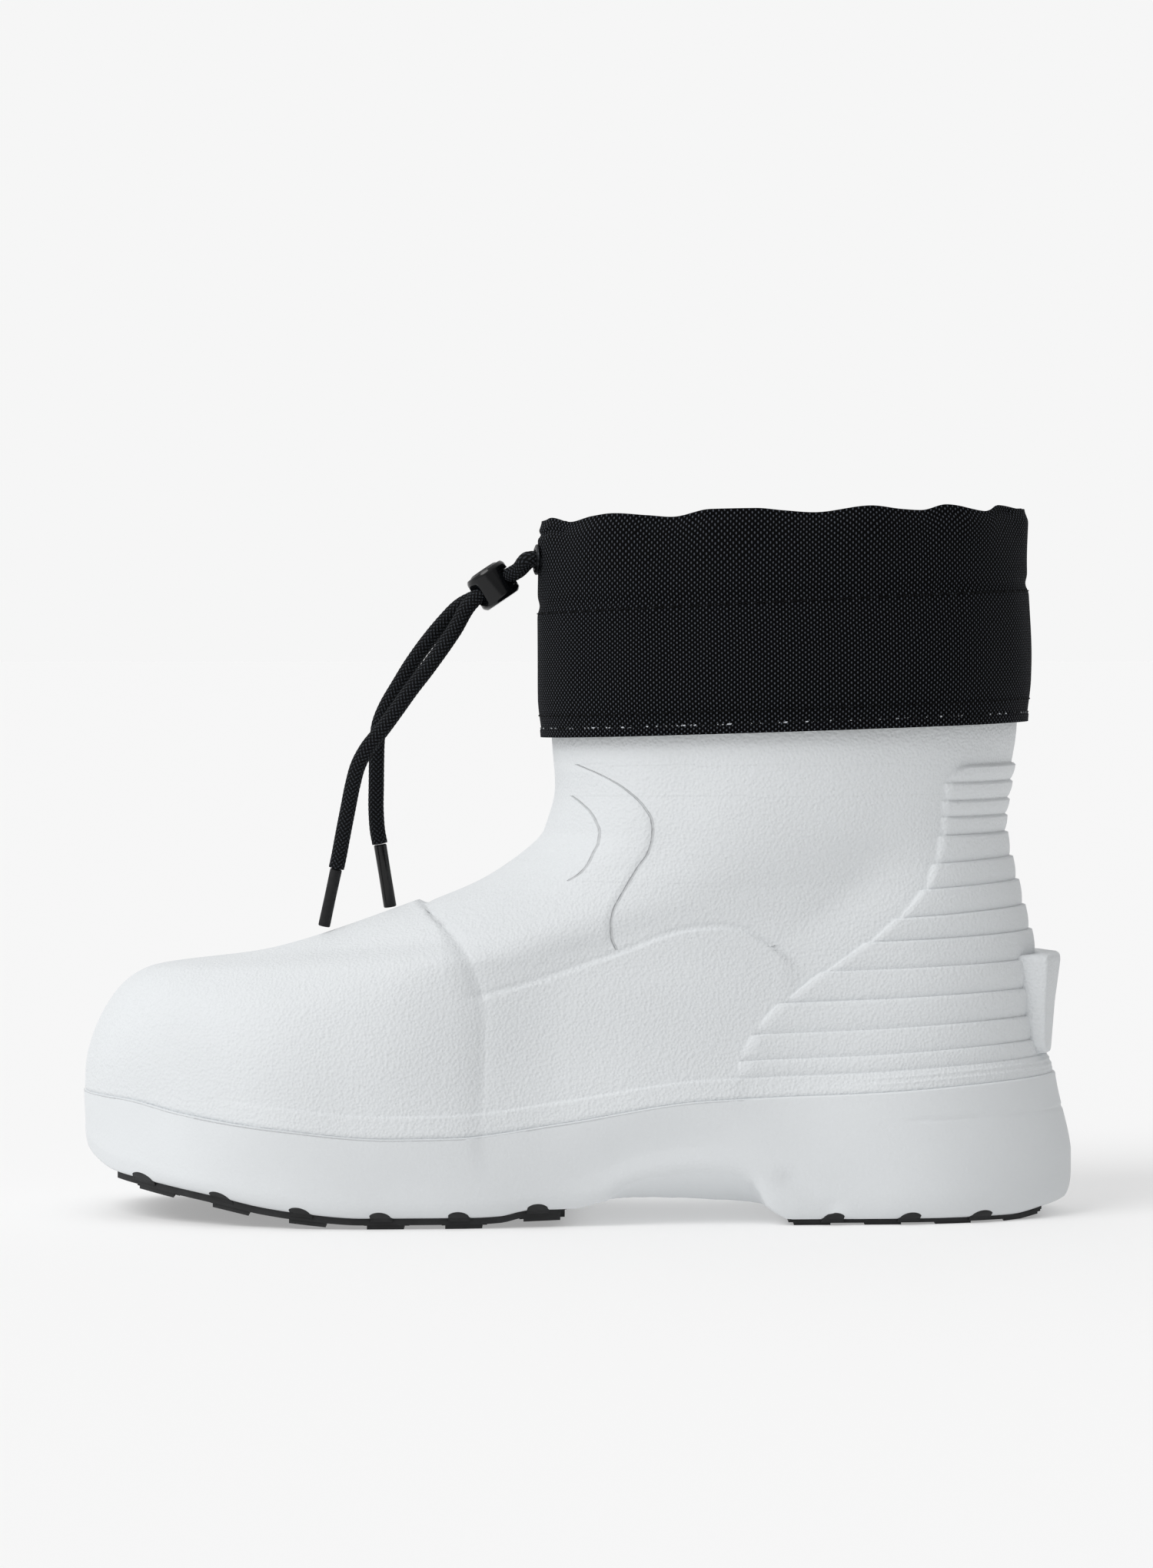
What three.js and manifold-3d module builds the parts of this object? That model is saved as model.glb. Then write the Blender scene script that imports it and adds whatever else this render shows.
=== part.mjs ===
// Moulded foam winter boot, left foot, with a gathered canvas cuff and a drawcord.
// Millimetres, +Z up, toe towards -X, outer side of the foot towards -Y.
import * as THREE from 'three';
import { mergeVertices } from 'three/addons/utils/BufferGeometryUtils.js';
import Module from 'manifold-3d';

const wasm = await Module();
wasm.setup();

// Overall sizes
const BOOT_LENGTH = 290;
const BALL_WIDTH = 109;
const BOOT_HEIGHT = 206;

// Walls, steps and clearances
const UPPER_WALL = 3.4;
const CUFF_WALL = 2.6;
const SEAT_GAP = 0.3;
const LEDGE_STEP = 1.3;
const LEDGE_DIP = 11.6;
const SOLE_TUCK = 2.6;
const TOE_TUCK = 0.6;

// Relief moulded in the upper
const TOE_CAP_STEP = 1.5;
const TOE_CAP_FADE = 70;
const SIDE_PANEL_STEP = 0.8;
const ANKLE_STEP = 0.9;
const HEEL_PANEL_STEP = 0.5;
const RIB_STEP = 1.1;
const RIB_EDGE = 0.6;
const SMALL_RIBS = 4;
const SMALL_RIB_PITCH = 0.0243 * BOOT_HEIGHT;
const LARGE_RIBS = 9;
const LARGE_RIB_PITCH = 0.0357 * BOOT_HEIGHT;
const RIB_TOP_HEIGHT = 0.64 * BOOT_HEIGHT;

// Kick spur on the heel
const SPUR_TOP = 77;
const SPUR_BEVEL = 2.6;
const SPUR_BOTTOM = 47;
const SPUR_HALF_WIDTH = 11.5;
const SPUR_BACK_HALF_WIDTH = 5;
const SPUR_REACH_TOP = 8.3;
const SPUR_REACH_BOTTOM = 2.6;
const SPUR_ROOT = 1.6;
const SPUR_SHOULDER = 0.62;

// Footbed and insole
const INSOLE_THICKNESS = 5;
const INSOLE_CLEARANCE = 0.5;
const CUP_CORNER = 4;
const INSOLE_CORNER_GAP = 0.4;

// Rubber outsole
const FOREFOOT_RIM_HEIGHT = 3.2;
const HEEL_RIM_HEIGHT = 1.8;
const POCKET_DEPTH = 2.2;
const PLATE_MARGIN = 3.5;
const PLATE_BELOW_RIM = 0.8;
const LUG_PITCH = 23;
const LUG_LENGTH = 13;
const LUG_FUSE = 0.4;
const EDGE_LUG_LENGTH = 10.5;
const EDGE_LUG_MARGIN = 0.9;
const EDGE_LUG_DEPTH = 9;
const BRIDGE_HALF_WIDTH = 18;
const BRIDGE_EDGE_HEIGHT = 3;
const SCOOP_HEIGHT = 16.3;
const PLATE_LOWEST = 0.6;
const BODY_DEPTH = 3;

// Collar and cuff, measured down from the top at the back of the boot
const COLLAR_HEIGHT = BOOT_HEIGHT - 46;
const HEM_HEIGHT = COLLAR_HEIGHT - 16;
const SEAM_HEIGHT = BOOT_HEIGHT - 22;
const HEM_ROLL = 6;
const HEM_PINCH = 0.7;
const HEM_PINCH_HEIGHT = 12;
const CUFF_LOOSENESS = 0.5;
const LINING_GAP = 0.4;
const GATHER_COUNT = 11;
const GATHER_DEPTH = 0.9;
const GATHER_START = 4;
const GATHER_FULL_DEPTH = 11;
const SEAM_NOTCH = 0.9;
const SEAM_NOTCH_WIDTH = 1.6;
const SEAM_HALF_HEIGHT = 2.5;
const RIM_ROUND = 1.1;
const RIM_ROUND_HEIGHT = 4;

// Drawcord, lock, eyelets and aglets
const CORD_DIAMETER = 4.6;
const CORD_SIDES = 8;
const CORD_GAP = 0.8;
const CORD_CLEARANCE = 0.6;
const EYELET_SPACING = 14;
const EYELET_HEIGHT = BOOT_HEIGHT - 16;
const EYELET_FLANGE = 5.2;
const EYELET_FLANGE_THICKNESS = 0.9;
const EYELET_WALL = 0.7;
const EYELET_SEAT = 0.45;
const LOCK_DIAMETER = 12.7;
const LOCK_LENGTH = 10.4;
const LOCK_CHAMFER = 1;
const LOCK_BUTTON_DIAMETER = 9.4;
const LOCK_BUTTON_DEPTH = 1.5;
const LOCK_BUTTON_PROUD = 0.5;
const LOCK_BUTTON_CHAMFER = 0.8;
const TIP_CHAMFER = 0.5;
const LOCK_TILT = 34 * Math.PI / 180;
const AGLET_LEFT_DIAMETER = 3.5;
const AGLET_RIGHT_DIAMETER = 3.8;

// Mesh fineness
const HEEL_COLUMNS = 7;
const WAIST_COLUMNS = 8;
const TOE_COLUMNS = 9;
const CUFF_COLUMNS = 44;

// Rings of the upper, from the ledge to the rim of the cuff. Heights are shares of
// BOOT_HEIGHT, places along the boot shares of BOOT_LENGTH from its middle, and end radii
// and half widths shares of BALL_WIDTH. w10 is the half width a tenth of the way from the
// heel to the toe of the ring, and so on.
const RING_COLUMNS = ['heelZ', 'toeX', 'toeZ', 'heelX', 'heelRadius',
  'w10', 'w30', 'w50', 'w70', 'w85', 'toeRadius'];
const RINGS = {
  ledge: [0.201, -0.498, 0.172, 0.478, 0.275, 0.335, 0.372, 0.399, 0.482, 0.450, 0.312],
  band: [0.231, -0.497, 0.204, 0.470, 0.284, 0.326, 0.362, 0.390, 0.472, 0.440, 0.312],
  wall: [0.286, -0.490, 0.252, 0.464, 0.284, 0.317, 0.353, 0.376, 0.463, 0.427, 0.312],
  brow: [0.340, -0.473, 0.303, 0.463, 0.284, 0.312, 0.349, 0.367, 0.436, 0.390, 0.284],
  toeTop: [0.388, -0.436, 0.346, 0.457, 0.284, 0.307, 0.344, 0.353, 0.394, 0.312, 0.183],
  vamp: [0.437, -0.316, 0.372, 0.448, 0.284, 0.303, 0.339, 0.349, 0.353, 0.266, 0.147],
  capEdge: [0.481, -0.162, 0.436, 0.440, 0.284, 0.284, 0.344, 0.362, 0.339, 0.266, 0.156],
  instep: [0.515, -0.087, 0.481, 0.434, 0.284, 0.271, 0.358, 0.381, 0.349, 0.280, 0.202],
  throat: [0.549, -0.033, 0.544, 0.430, 0.303, 0.266, 0.381, 0.404, 0.372, 0.303, 0.275],
  shaft: [0.617, -0.022, 0.607, 0.436, 0.339, 0.280, 0.404, 0.427, 0.390, 0.317, 0.330],
  shaftTop: [0.689, -0.025, 0.667, 0.444, 0.367, 0.289, 0.422, 0.445, 0.404, 0.326, 0.349],
  collar: [0.791, -0.028, 0.765, 0.446, 0.367, 0.294, 0.427, 0.450, 0.408, 0.330, 0.349],
  channel: [0.893, -0.028, 0.861, 0.443, 0.367, 0.294, 0.427, 0.450, 0.408, 0.330, 0.349],
  rim: [1.000, -0.026, 0.981, 0.441, 0.367, 0.294, 0.427, 0.450, 0.408, 0.330, 0.349],
};
const WIDTH_STATIONS = [0, 0.1, 0.3, 0.5, 0.7, 0.85, 1];

// Widest outline of the sole: share of the length from the heel, half width as a share of
// BALL_WIDTH; the first and last rows hold the end radii.
const SOLE_PLAN = [
  [0, 0.25], [0.1, 0.33], [0.25, 0.39], [0.45, 0.388], [0.65, 0.475], [0.8, 0.491],
  [0.94, 0.321], [1, 0.312],
];

// Centre line of the last: share of the length from the heel, sideways offset as a share of
// BALL_WIDTH, towards the outer side where negative.
const LAST_LINE = [
  [0, 0], [0.25, -0.009], [0.45, -0.034], [0.55, -0.039], [0.65, -0.03], [0.72, -0.018],
  [0.8, 0.005], [0.88, 0.037], [0.94, 0.064], [1, 0.083],
];

// Dip of the ledge below a straight line from heel to toe, as a share of LEDGE_DIP.
const DIP_LINE = [
  [0, 0], [0.08, 0.07], [0.2, 0.2], [0.36, 0.28], [0.51, 0.75], [0.61, 1], [0.68, 0.98],
  [0.79, 0.71], [0.89, 0.36], [0.95, 0.07], [1, 0],
];

// Rim of the sole above the floor: share of the length from the heel, height as a share of
// FOREFOOT_RIM_HEIGHT. Toe spring, rocker, bridge of the arch and heel block.
const RIM_LINE = [
  [0, 1.5], [0.03, 1.1], [0.07, 0.5625], [0.29, 0.5625], [0.312, 1.44], [0.472, 2.2],
  [0.5, 1.65], [0.55, 1.55], [0.575, 1.1], [0.6, 1], [0.71, 1], [0.77, 1.4],
  [0.81, 1.85], [0.85, 2.55], [0.9, 3.3], [0.93, 3.75], [0.965, 4.3], [0.985, 5.2],
  [1, 6.3],
];

// Floor of the footbed: share of the length from the heel, height as a share of BOOT_HEIGHT.
const FOOTBED_LINE = [
  [0, 0.132], [0.2, 0.126], [0.35, 0.11], [0.5, 0.085], [0.7, 0.067], [0.85, 0.075],
  [1, 0.105],
];

// Back edge of the toe cap: height as a share of BOOT_HEIGHT, place along BOOT_LENGTH.
const CAP_EDGE = [
  [0.16, -0.099], [0.21, -0.096], [0.29, -0.095], [0.33, -0.1], [0.373, -0.111],
  [0.403, -0.126], [0.43, -0.148],
];

// Front edge of the ribbed heel panel: height share, place along BOOT_LENGTH.
const HEEL_PANEL_EDGE = [
  [0.18, 0.155], [0.24, 0.168], [0.29, 0.2], [0.335, 0.238], [0.38, 0.276],
  [0.44, 0.328], [0.5, 0.358], [0.55, 0.363], [0.6, 0.372], [0.645, 0.388],
];

// Top line of the raised side panel: place along BOOT_LENGTH, height share.
const SIDE_PANEL_LINE = [
  [-0.095, 0.315], [-0.034, 0.338], [0.005, 0.357], [0.045, 0.376], [0.084, 0.397],
  [0.108, 0.406], [0.14, 0.41], [0.163, 0.406], [0.187, 0.389], [0.208, 0.367],
  [0.223, 0.347],
];

// Ankle line, raised in front of it: height share, place along BOOT_LENGTH.
const ANKLE_LINE = [
  [0.375, 0.04], [0.405, 0.034], [0.44, 0.045], [0.48, 0.063], [0.51, 0.074],
  [0.54, 0.074], [0.565, 0.066], [0.59, 0.05], [0.61, 0.028], [0.626, 0.006],
];

// Arch scoops of the outer and the inner side: front and back as places along BOOT_LENGTH.
const SCOOPS = [{ side: -1, front: 0.02, back: 0.187 }, { side: 1, front: -0.03, back: 0.187 }];

// Arch scoop roof: share of the scoop from its front, height as a share of SCOOP_HEIGHT.
const SCOOP_ROOF = [
  [0, 0.3], [0.1, 0.6], [0.2, 0.77], [0.35, 0.9], [0.6, 1], [0.8, 0.96], [0.92, 0.8],
  [1, 0.35],
];

// Strands of the drawcord, measured from the point midway between the eyelets: from the
// mouth of the eyelet, through the lock, to the aglet.
const STRAND_LEFT = [
  [-6.4, -5, -2.9], [-9.8, -2.7, -4.9], [-13.8, -2.7, -7.5], [-18, -2.7, -10.3],
  [-21.3, -2.9, -13.8], [-25.3, -3.5, -20.7], [-32.8, -4.8, -31.4], [-37.8, -5.4, -37.9],
  [-42.3, -5.8, -44.2], [-46.5, -6, -49.9], [-50.5, -6, -54.9], [-53.2, -5.8, -59.9],
  [-54.8, -5.5, -65.5], [-56.3, -5.1, -72.9], [-57.7, -4.7, -80], [-59, -4.3, -86.9],
  [-59.7, -4, -90.1],
];
const STRAND_RIGHT = [
  [-6.4, 5, -2.9], [-9.8, 2.7, -4.9], [-13.8, 2.7, -7.5], [-18, 2.7, -10.3], [-23.7, 3, -13.4],
  [-28.4, 3.5, -18.1], [-33.3, 4.1, -24], [-37.9, 4.6, -30.4], [-41.9, 5, -36.9],
  [-45.4, 5.3, -42.9], [-47.4, 5.6, -47.9], [-48.1, 5.9, -52.9], [-48.3, 6.1, -58.9],
  [-48.4, 6.4, -65.9], [-48.5, 6.7, -72.9], [-48.1, 7.1, -79.4], [-47.4, 7.4, -83.3],
];
const AGLET_LEFT_TIP = [-63.4, -3.4, -107.2];
const AGLET_RIGHT_TIP = [-44.4, 8.4, -102.1];

const FOAM_WHITE = new THREE.MeshStandardMaterial({ color: 0xe9edee, roughness: 0.62, metalness: 0 });
const RUBBER_BLACK = new THREE.MeshStandardMaterial({ color: 0x17181a, roughness: 0.75, metalness: 0 });
const INSOLE_GREY = new THREE.MeshStandardMaterial({ color: 0x5b5f63, roughness: 0.9, metalness: 0 });
const CANVAS_BLACK = new THREE.MeshStandardMaterial({ color: 0x15161a, roughness: 0.85, metalness: 0 });
const BRAID_BLACK = new THREE.MeshStandardMaterial({ color: 0x1b1d20, roughness: 0.8, metalness: 0 });
const PLASTIC_BLACK = new THREE.MeshStandardMaterial({ color: 0x0d0e10, roughness: 0.3, metalness: 0 });
const EYELET_METAL = new THREE.MeshStandardMaterial({ color: 0x26282b, roughness: 0.35, metalness: 1 });

// Cubic curve through table rows that never overshoots them.
function smoothCurve(keys, values) {
  const steps = keys.slice(1).map((key, i) => (values[i + 1] - values[i]) / (key - keys[i]));
  const slopes = keys.map((key, i) => {
    if (i === 0) return steps[0];
    if (i === keys.length - 1) return steps[i - 1];
    if (steps[i - 1] * steps[i] <= 0) return 0;
    return 2 * steps[i - 1] * steps[i] / (steps[i - 1] + steps[i]);
  });
  return (key) => {
    if (key <= keys[0]) return values[0] + slopes[0] * (key - keys[0]);
    let i = 0;
    while (i < keys.length - 2 && key > keys[i + 1]) i += 1;
    const span = keys[i + 1] - keys[i];
    const t = (key - keys[i]) / span;
    if (t > 1) return values[i + 1] + slopes[i + 1] * (key - keys[i + 1]);
    const startPart = values[i] * (1 + 2 * t) * (1 - t) ** 2 + span * slopes[i] * t * (1 - t) ** 2;
    const endPart = values[i + 1] * t * t * (3 - 2 * t) + span * slopes[i + 1] * t * t * (t - 1);
    return startPart + endPart;
  };
}

function tableCurve(rows, keyScale, valueScale) {
  return smoothCurve(rows.map((row) => row[0] * keyScale), rows.map((row) => row[1] * valueScale));
}

function mix(a, b, t) {
  return a + (b - a) * t;
}

function ease(low, high, value) {
  const t = Math.min(Math.max((value - low) / (high - low), 0), 1);
  return t * t * (3 - 2 * t);
}

const ringRows = Object.values(RINGS);
const ringScale = { heelZ: BOOT_HEIGHT, toeZ: BOOT_HEIGHT, toeX: BOOT_LENGTH, heelX: BOOT_LENGTH };
const ringCurves = {};
RING_COLUMNS.forEach((name, i) => {
  const scale = ringScale[name] ?? BALL_WIDTH;
  const heights = ringRows.map((row) => row[0] * BOOT_HEIGHT);
  ringCurves[name] = smoothCurve(heights, ringRows.map((row) => row[i] * scale));
});
const LEDGE_HEIGHT = RINGS.ledge[0] * BOOT_HEIGHT;
const CAP_EDGE_HEIGHT = RINGS.capEdge[0] * BOOT_HEIGHT;

const lastLine = tableCurve(LAST_LINE, 1, BALL_WIDTH);
const dipLine = tableCurve(DIP_LINE, 1, LEDGE_DIP);
const rimLine = tableCurve(RIM_LINE, 1, FOREFOOT_RIM_HEIGHT);
const footbedLine = tableCurve(FOOTBED_LINE, 1, BOOT_HEIGHT);
const capEdgeLine = tableCurve(CAP_EDGE, BOOT_HEIGHT, BOOT_LENGTH);
const heelPanelLine = tableCurve(HEEL_PANEL_EDGE, BOOT_HEIGHT, BOOT_LENGTH);
const sidePanelLine = tableCurve(SIDE_PANEL_LINE, BOOT_LENGTH, BOOT_HEIGHT);
const ankleLine = tableCurve(ANKLE_LINE, BOOT_HEIGHT, BOOT_LENGTH);
const scoopRoof = tableCurve(SCOOP_ROOF, 1, SCOOP_HEIGHT);

function heelShare(x) {
  return 0.5 - x / BOOT_LENGTH;
}

// Half widths of a ring over its length, divided by the half circle that they ride on.
function widthCurve(length, heelRadius, halfWidths, toeRadius, stations) {
  const values = stations.map((s, i) => {
    if (i === 0) return Math.sqrt(heelRadius * length / 2);
    if (i === stations.length - 1) return Math.sqrt(toeRadius * length / 2);
    return halfWidths[i - 1] / (2 * Math.sqrt(s * (1 - s)));
  });
  return smoothCurve(stations, values);
}

const ringCache = new Map();
function ringAt(height) {
  const key = height.toFixed(4);
  if (!ringCache.has(key)) {
    const ring = {};
    for (const name of RING_COLUMNS) ring[name] = ringCurves[name](height);
    const halfWidths = [ring.w10, ring.w30, ring.w50, ring.w70, ring.w85];
    const length = ring.heelX - ring.toeX;
    ring.width = widthCurve(length, ring.heelRadius, halfWidths, ring.toeRadius, WIDTH_STATIONS);
    ringCache.set(key, ring);
  }
  return ringCache.get(key);
}

// A point of the plain upper. The angle runs from the heel over the outer side to the toe.
function plainPoint(height, angle) {
  const ring = ringAt(height);
  const s = (1 - Math.cos(angle)) / 2;
  const x = mix(ring.heelX, ring.toeX, s);
  const dipFade = 1 - ease(LEDGE_HEIGHT, RINGS.toeTop[0] * BOOT_HEIGHT * 1.08, height);
  const z = mix(height, ring.toeZ, s) - dipLine(s) * dipFade;
  const bend = 1 - ease(RINGS.toeTop[0] * BOOT_HEIGHT, RINGS.shaftTop[0] * BOOT_HEIGHT, height);
  const y = lastLine(heelShare(x)) * bend - Math.sin(angle) * ring.width(s);
  return new THREE.Vector3(x, y, z);
}

const NORMAL_STEP_HEIGHT = 0.05;
const NORMAL_STEP_ANGLE = 0.002;
function outward(height, angle) {
  const across = plainPoint(height, angle + NORMAL_STEP_ANGLE)
    .sub(plainPoint(height, angle - NORMAL_STEP_ANGLE));
  const up = plainPoint(height + NORMAL_STEP_HEIGHT, angle)
    .sub(plainPoint(height - NORMAL_STEP_HEIGHT, angle));
  return up.cross(across).normalize();
}

function offsetPoint(height, angle, distance) {
  return plainPoint(height, angle).addScaledVector(outward(height, angle), distance);
}

// A point level with the ledge, moved straight out from the upper's foot.
function ledgePoint(angle, distance, lift) {
  const point = plainPoint(LEDGE_HEIGHT, angle);
  const before = plainPoint(LEDGE_HEIGHT, angle - NORMAL_STEP_ANGLE);
  const after = plainPoint(LEDGE_HEIGHT, angle + NORMAL_STEP_ANGLE);
  const along = after.sub(before).setZ(0).normalize();
  point.x -= along.y * distance;
  point.y += along.x * distance;
  point.z += lift;
  return point;
}

// Angle on the outer side at which a ring crosses a line given as place along the boot.
function angleOfLine(height, line) {
  let low = 0.02;
  let high = Math.PI - 0.02;
  for (let i = 0; i < 30; i += 1) {
    const middle = (low + high) / 2;
    const point = plainPoint(height, middle);
    if (point.x > line(point.z)) low = middle;
    else high = middle;
  }
  return (low + high) / 2;
}

// Heights of the rib edges at the back of the boot, from the top down.
const ribTops = [];
for (let i = 0; i <= SMALL_RIBS; i += 1) ribTops.push(RIB_TOP_HEIGHT - i * SMALL_RIB_PITCH);
const lowestSmallRib = ribTops[SMALL_RIBS];
for (let i = 1; i < LARGE_RIBS; i += 1) ribTops.push(lowestSmallRib - i * LARGE_RIB_PITCH);

// Relief of a rib, proud at its top edge and flush with the next rib's top at its foot.
function ribRelief(height) {
  if (height > RIB_TOP_HEIGHT + RIB_EDGE / 2) return 0;
  const top = ribTops.findLast((value) => value >= height) ?? RIB_TOP_HEIGHT;
  const next = ribTops.find((value) => value < height) ?? LEDGE_HEIGHT;
  const fall = (top - height) / (top - next);
  return HEEL_PANEL_STEP + RIB_STEP * (1 - fall);
}

const STEP_BLEND = 2.5;
const ANKLE_FADE = 25;
function upperRelief(height, angle, panelAngle, capAngle) {
  const side = angle > Math.PI ? 2 * Math.PI - angle : angle;
  const point = plainPoint(height, angle);
  let relief = 0;
  if (side <= panelAngle) return ribRelief(height);
  if (height <= CAP_EDGE_HEIGHT && side >= capAngle) {
    const ahead = capEdgeLine(point.z) - point.x;
    relief += TOE_CAP_STEP * (1 - ease(0, TOE_CAP_FADE, ahead));
  }
  if (height < CAP_EDGE_HEIGHT && side < capAngle) {
    const below = sidePanelLine(point.x) - point.z;
    relief += SIDE_PANEL_STEP * ease(0, STEP_BLEND, below);
  }
  if (point.z > ANKLE_LINE[0][0] * BOOT_HEIGHT && height < HEM_HEIGHT) {
    const before = ankleLine(point.z) - point.x;
    const fade = 1 - ease(RINGS.shaft[0] * BOOT_HEIGHT, HEM_HEIGHT, height);
    const offMiddle = ease(0, ANKLE_FADE, Math.abs(point.y));
    relief += ANKLE_STEP * ease(0, STEP_BLEND, before) * fade * offMiddle;
  }
  return relief;
}

// Angles of the mesh columns of one ring: they follow the heel panel and the toe cap edge.
const EDGE_ANGLE = 0.02;
const CAP_TURN_LIMIT = Math.PI - 0.42;
const CAP_TURN_RELEASED = Math.PI * 0.72;
function ringAngles(height) {
  const panelHeight = Math.min(height, RIB_TOP_HEIGHT);
  const panel = angleOfLine(panelHeight, heelPanelLine);
  const capHeight = Math.min(height, CAP_EDGE_HEIGHT * 0.96);
  const release = ease(CAP_EDGE_HEIGHT, BOOT_HEIGHT * 0.6, height);
  const capFollowed = Math.min(angleOfLine(capHeight, capEdgeLine), CAP_TURN_LIMIT);
  const cap = mix(capFollowed, CAP_TURN_RELEASED, release);
  const half = [];
  for (let i = 0; i < HEEL_COLUMNS; i += 1) half.push((panel - EDGE_ANGLE) * i / (HEEL_COLUMNS - 1));
  for (let i = 0; i < WAIST_COLUMNS; i += 1) {
    half.push(mix(panel + EDGE_ANGLE, cap - EDGE_ANGLE, i / (WAIST_COLUMNS - 1)));
  }
  for (let i = 0; i < TOE_COLUMNS; i += 1) {
    half.push(mix(cap + EDGE_ANGLE, Math.PI, i / (TOE_COLUMNS - 1)));
  }
  const mirrored = half.slice(1, -1).reverse().map((angle) => 2 * Math.PI - angle);
  return { angles: [...half, ...mirrored], panel, cap };
}

function evenAngles(count) {
  return Array.from({ length: count }, (unused, i) => 2 * Math.PI * i / count);
}

// Closed mesh over rings of equal count. 'loop' joins the last ring to the first; 'caps'
// closes each end with strips across, from the outer side to the inner side.
function skin(rings, ends) {
  const count = rings[0].length;
  const positions = rings.flat().flatMap((point) => [point.x, point.y, point.z]);
  const index = [];
  const last = ends === 'loop' ? rings.length : rings.length - 1;
  for (let r = 0; r < last; r += 1) {
    const low = r * count;
    const high = ((r + 1) % rings.length) * count;
    for (let c = 0; c < count; c += 1) {
      const d = (c + 1) % count;
      index.push(low + c, low + d, high + d, low + c, high + d, high + c);
    }
  }
  if (ends === 'caps') {
    const top = (rings.length - 1) * count;
    for (let c = 0; c < count / 2; c += 1) {
      const [a, b, d, e] = [c, c + 1, count - 1 - c, (count - c) % count];
      if (b !== d) {
        index.push(a, d, b);
        index.push(top + a, top + b, top + d);
      }
      if (c > 0) {
        index.push(a, e, d);
        index.push(top + a, top + d, top + e);
      }
    }
  }
  return facingOut(positions, index);
}

function facingOut(positions, index) {
  let volume = 0;
  const corner = (i) => new THREE.Vector3(positions[3 * i], positions[3 * i + 1], positions[3 * i + 2]);
  for (let t = 0; t < index.length; t += 3) {
    const [a, b, c] = [corner(index[t]), corner(index[t + 1]), corner(index[t + 2])];
    volume += a.dot(b.cross(c));
  }
  const faces = volume > 0 ? index : index.slice().reverse();
  const geometry = new THREE.BufferGeometry();
  geometry.setAttribute('position', new THREE.Float32BufferAttribute(positions, 3));
  geometry.setIndex(faces);
  return geometry;
}

function toSolid(geometry) {
  const bare = geometry.clone();
  bare.deleteAttribute('normal');
  bare.deleteAttribute('uv');
  const merged = mergeVertices(bare, 1e-4);
  const vertProperties = new Float32Array(merged.attributes.position.array);
  const triVerts = new Uint32Array(merged.index.array);
  return new wasm.Manifold(new wasm.Mesh({ numProp: 3, vertProperties, triVerts }));
}

function toGeometry(solid) {
  const mesh = solid.getMesh();
  const geometry = new THREE.BufferGeometry();
  geometry.setAttribute('position', new THREE.Float32BufferAttribute(mesh.vertProperties, 3));
  geometry.setIndex(Array.from(mesh.triVerts));
  return geometry;
}

const boot = new THREE.Group();
function addPiece(name, geometry, material) {
  const mesh = new THREE.Mesh(geometry, material);
  mesh.name = name;
  boot.add(mesh);
  return mesh;
}

// Upper: one hollow moulding, open at the collar and underneath.
function upperSkin() {
  const heights = [RINGS.band[0] * BOOT_HEIGHT];
  for (const top of ribTops.slice().reverse()) heights.push(top, top + RIB_EDGE);
  for (const top of ribTops.slice(SMALL_RIBS + 2, SMALL_RIBS + 5)) {
    heights.push(top + LARGE_RIB_PITCH / 2);
  }
  heights.push(mix(RIB_TOP_HEIGHT, HEM_HEIGHT, 0.67), (HEM_HEIGHT + COLLAR_HEIGHT) / 2, COLLAR_HEIGHT);
  heights.sort((a, b) => a - b);
  const outer = heights.map((height) => {
    const { angles, panel, cap } = ringAngles(height);
    return angles.map((angle) => offsetPoint(height, angle, upperRelief(height, angle, panel, cap)));
  });
  const innerShares = [0.69, 0.62, 0.57, 0.534, 0.5, 0.47, 0.44, 0.41, 0.38, 0.335, 0.286, 0.243];
  const innerHeights = [COLLAR_HEIGHT, ...innerShares.map((share) => share * BOOT_HEIGHT)];
  const inner = innerHeights.map((height) => (
    ringAngles(height).angles.map((angle) => offsetPoint(height, angle, -UPPER_WALL))
  ));
  const { angles, panel, cap } = ringAngles(LEDGE_HEIGHT);
  const foot = angles.map((angle) => {
    const relief = upperRelief(LEDGE_HEIGHT, angle, panel, cap);
    return ledgePoint(angle, relief, SEAT_GAP);
  });
  const footInside = angles.map((angle) => ledgePoint(angle, -UPPER_WALL, SEAT_GAP));
  return skin([foot, ...outer, ...inner, footInside], 'loop');
}

// Kick spur: a tab across the back of the heel, rooted in the wall behind it.
function spurSkin() {
  const levels = [
    { z: SPUR_BOTTOM, inset: 0 },
    { z: SPUR_TOP - SPUR_BEVEL, inset: 0 },
    { z: SPUR_TOP, inset: SPUR_BEVEL },
  ];
  const rings = levels.map(({ z, inset }) => {
    const rise = (z - SPUR_BOTTOM) / (SPUR_TOP - SPUR_BOTTOM);
    const half = SPUR_HALF_WIDTH - inset;
    const back = plainPoint(z, 0).x + mix(SPUR_REACH_BOTTOM, SPUR_REACH_TOP, rise) - inset / 3;
    const radius = ringAt(z).heelRadius;
    const rootX = (y) => plainPoint(z, 0).x - y * y / (2 * radius) - SPUR_ROOT;
    const shoulder = mix(rootX(half) + SPUR_ROOT, back, SPUR_SHOULDER);
    const plan = [
      [rootX(0), 0], [rootX(half), half], [shoulder, half], [back, SPUR_BACK_HALF_WIDTH],
      [back, -SPUR_BACK_HALF_WIDTH], [shoulder, -half], [rootX(half), -half],
      [rootX(half / 2), -half / 2],
    ];
    return plan.map(([x, y]) => new THREE.Vector3(x, y, z));
  });
  return skin(rings, 'caps');
}

function makeUpper() {
  return toGeometry(toSolid(upperSkin()).add(toSolid(spurSkin())));
}

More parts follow.
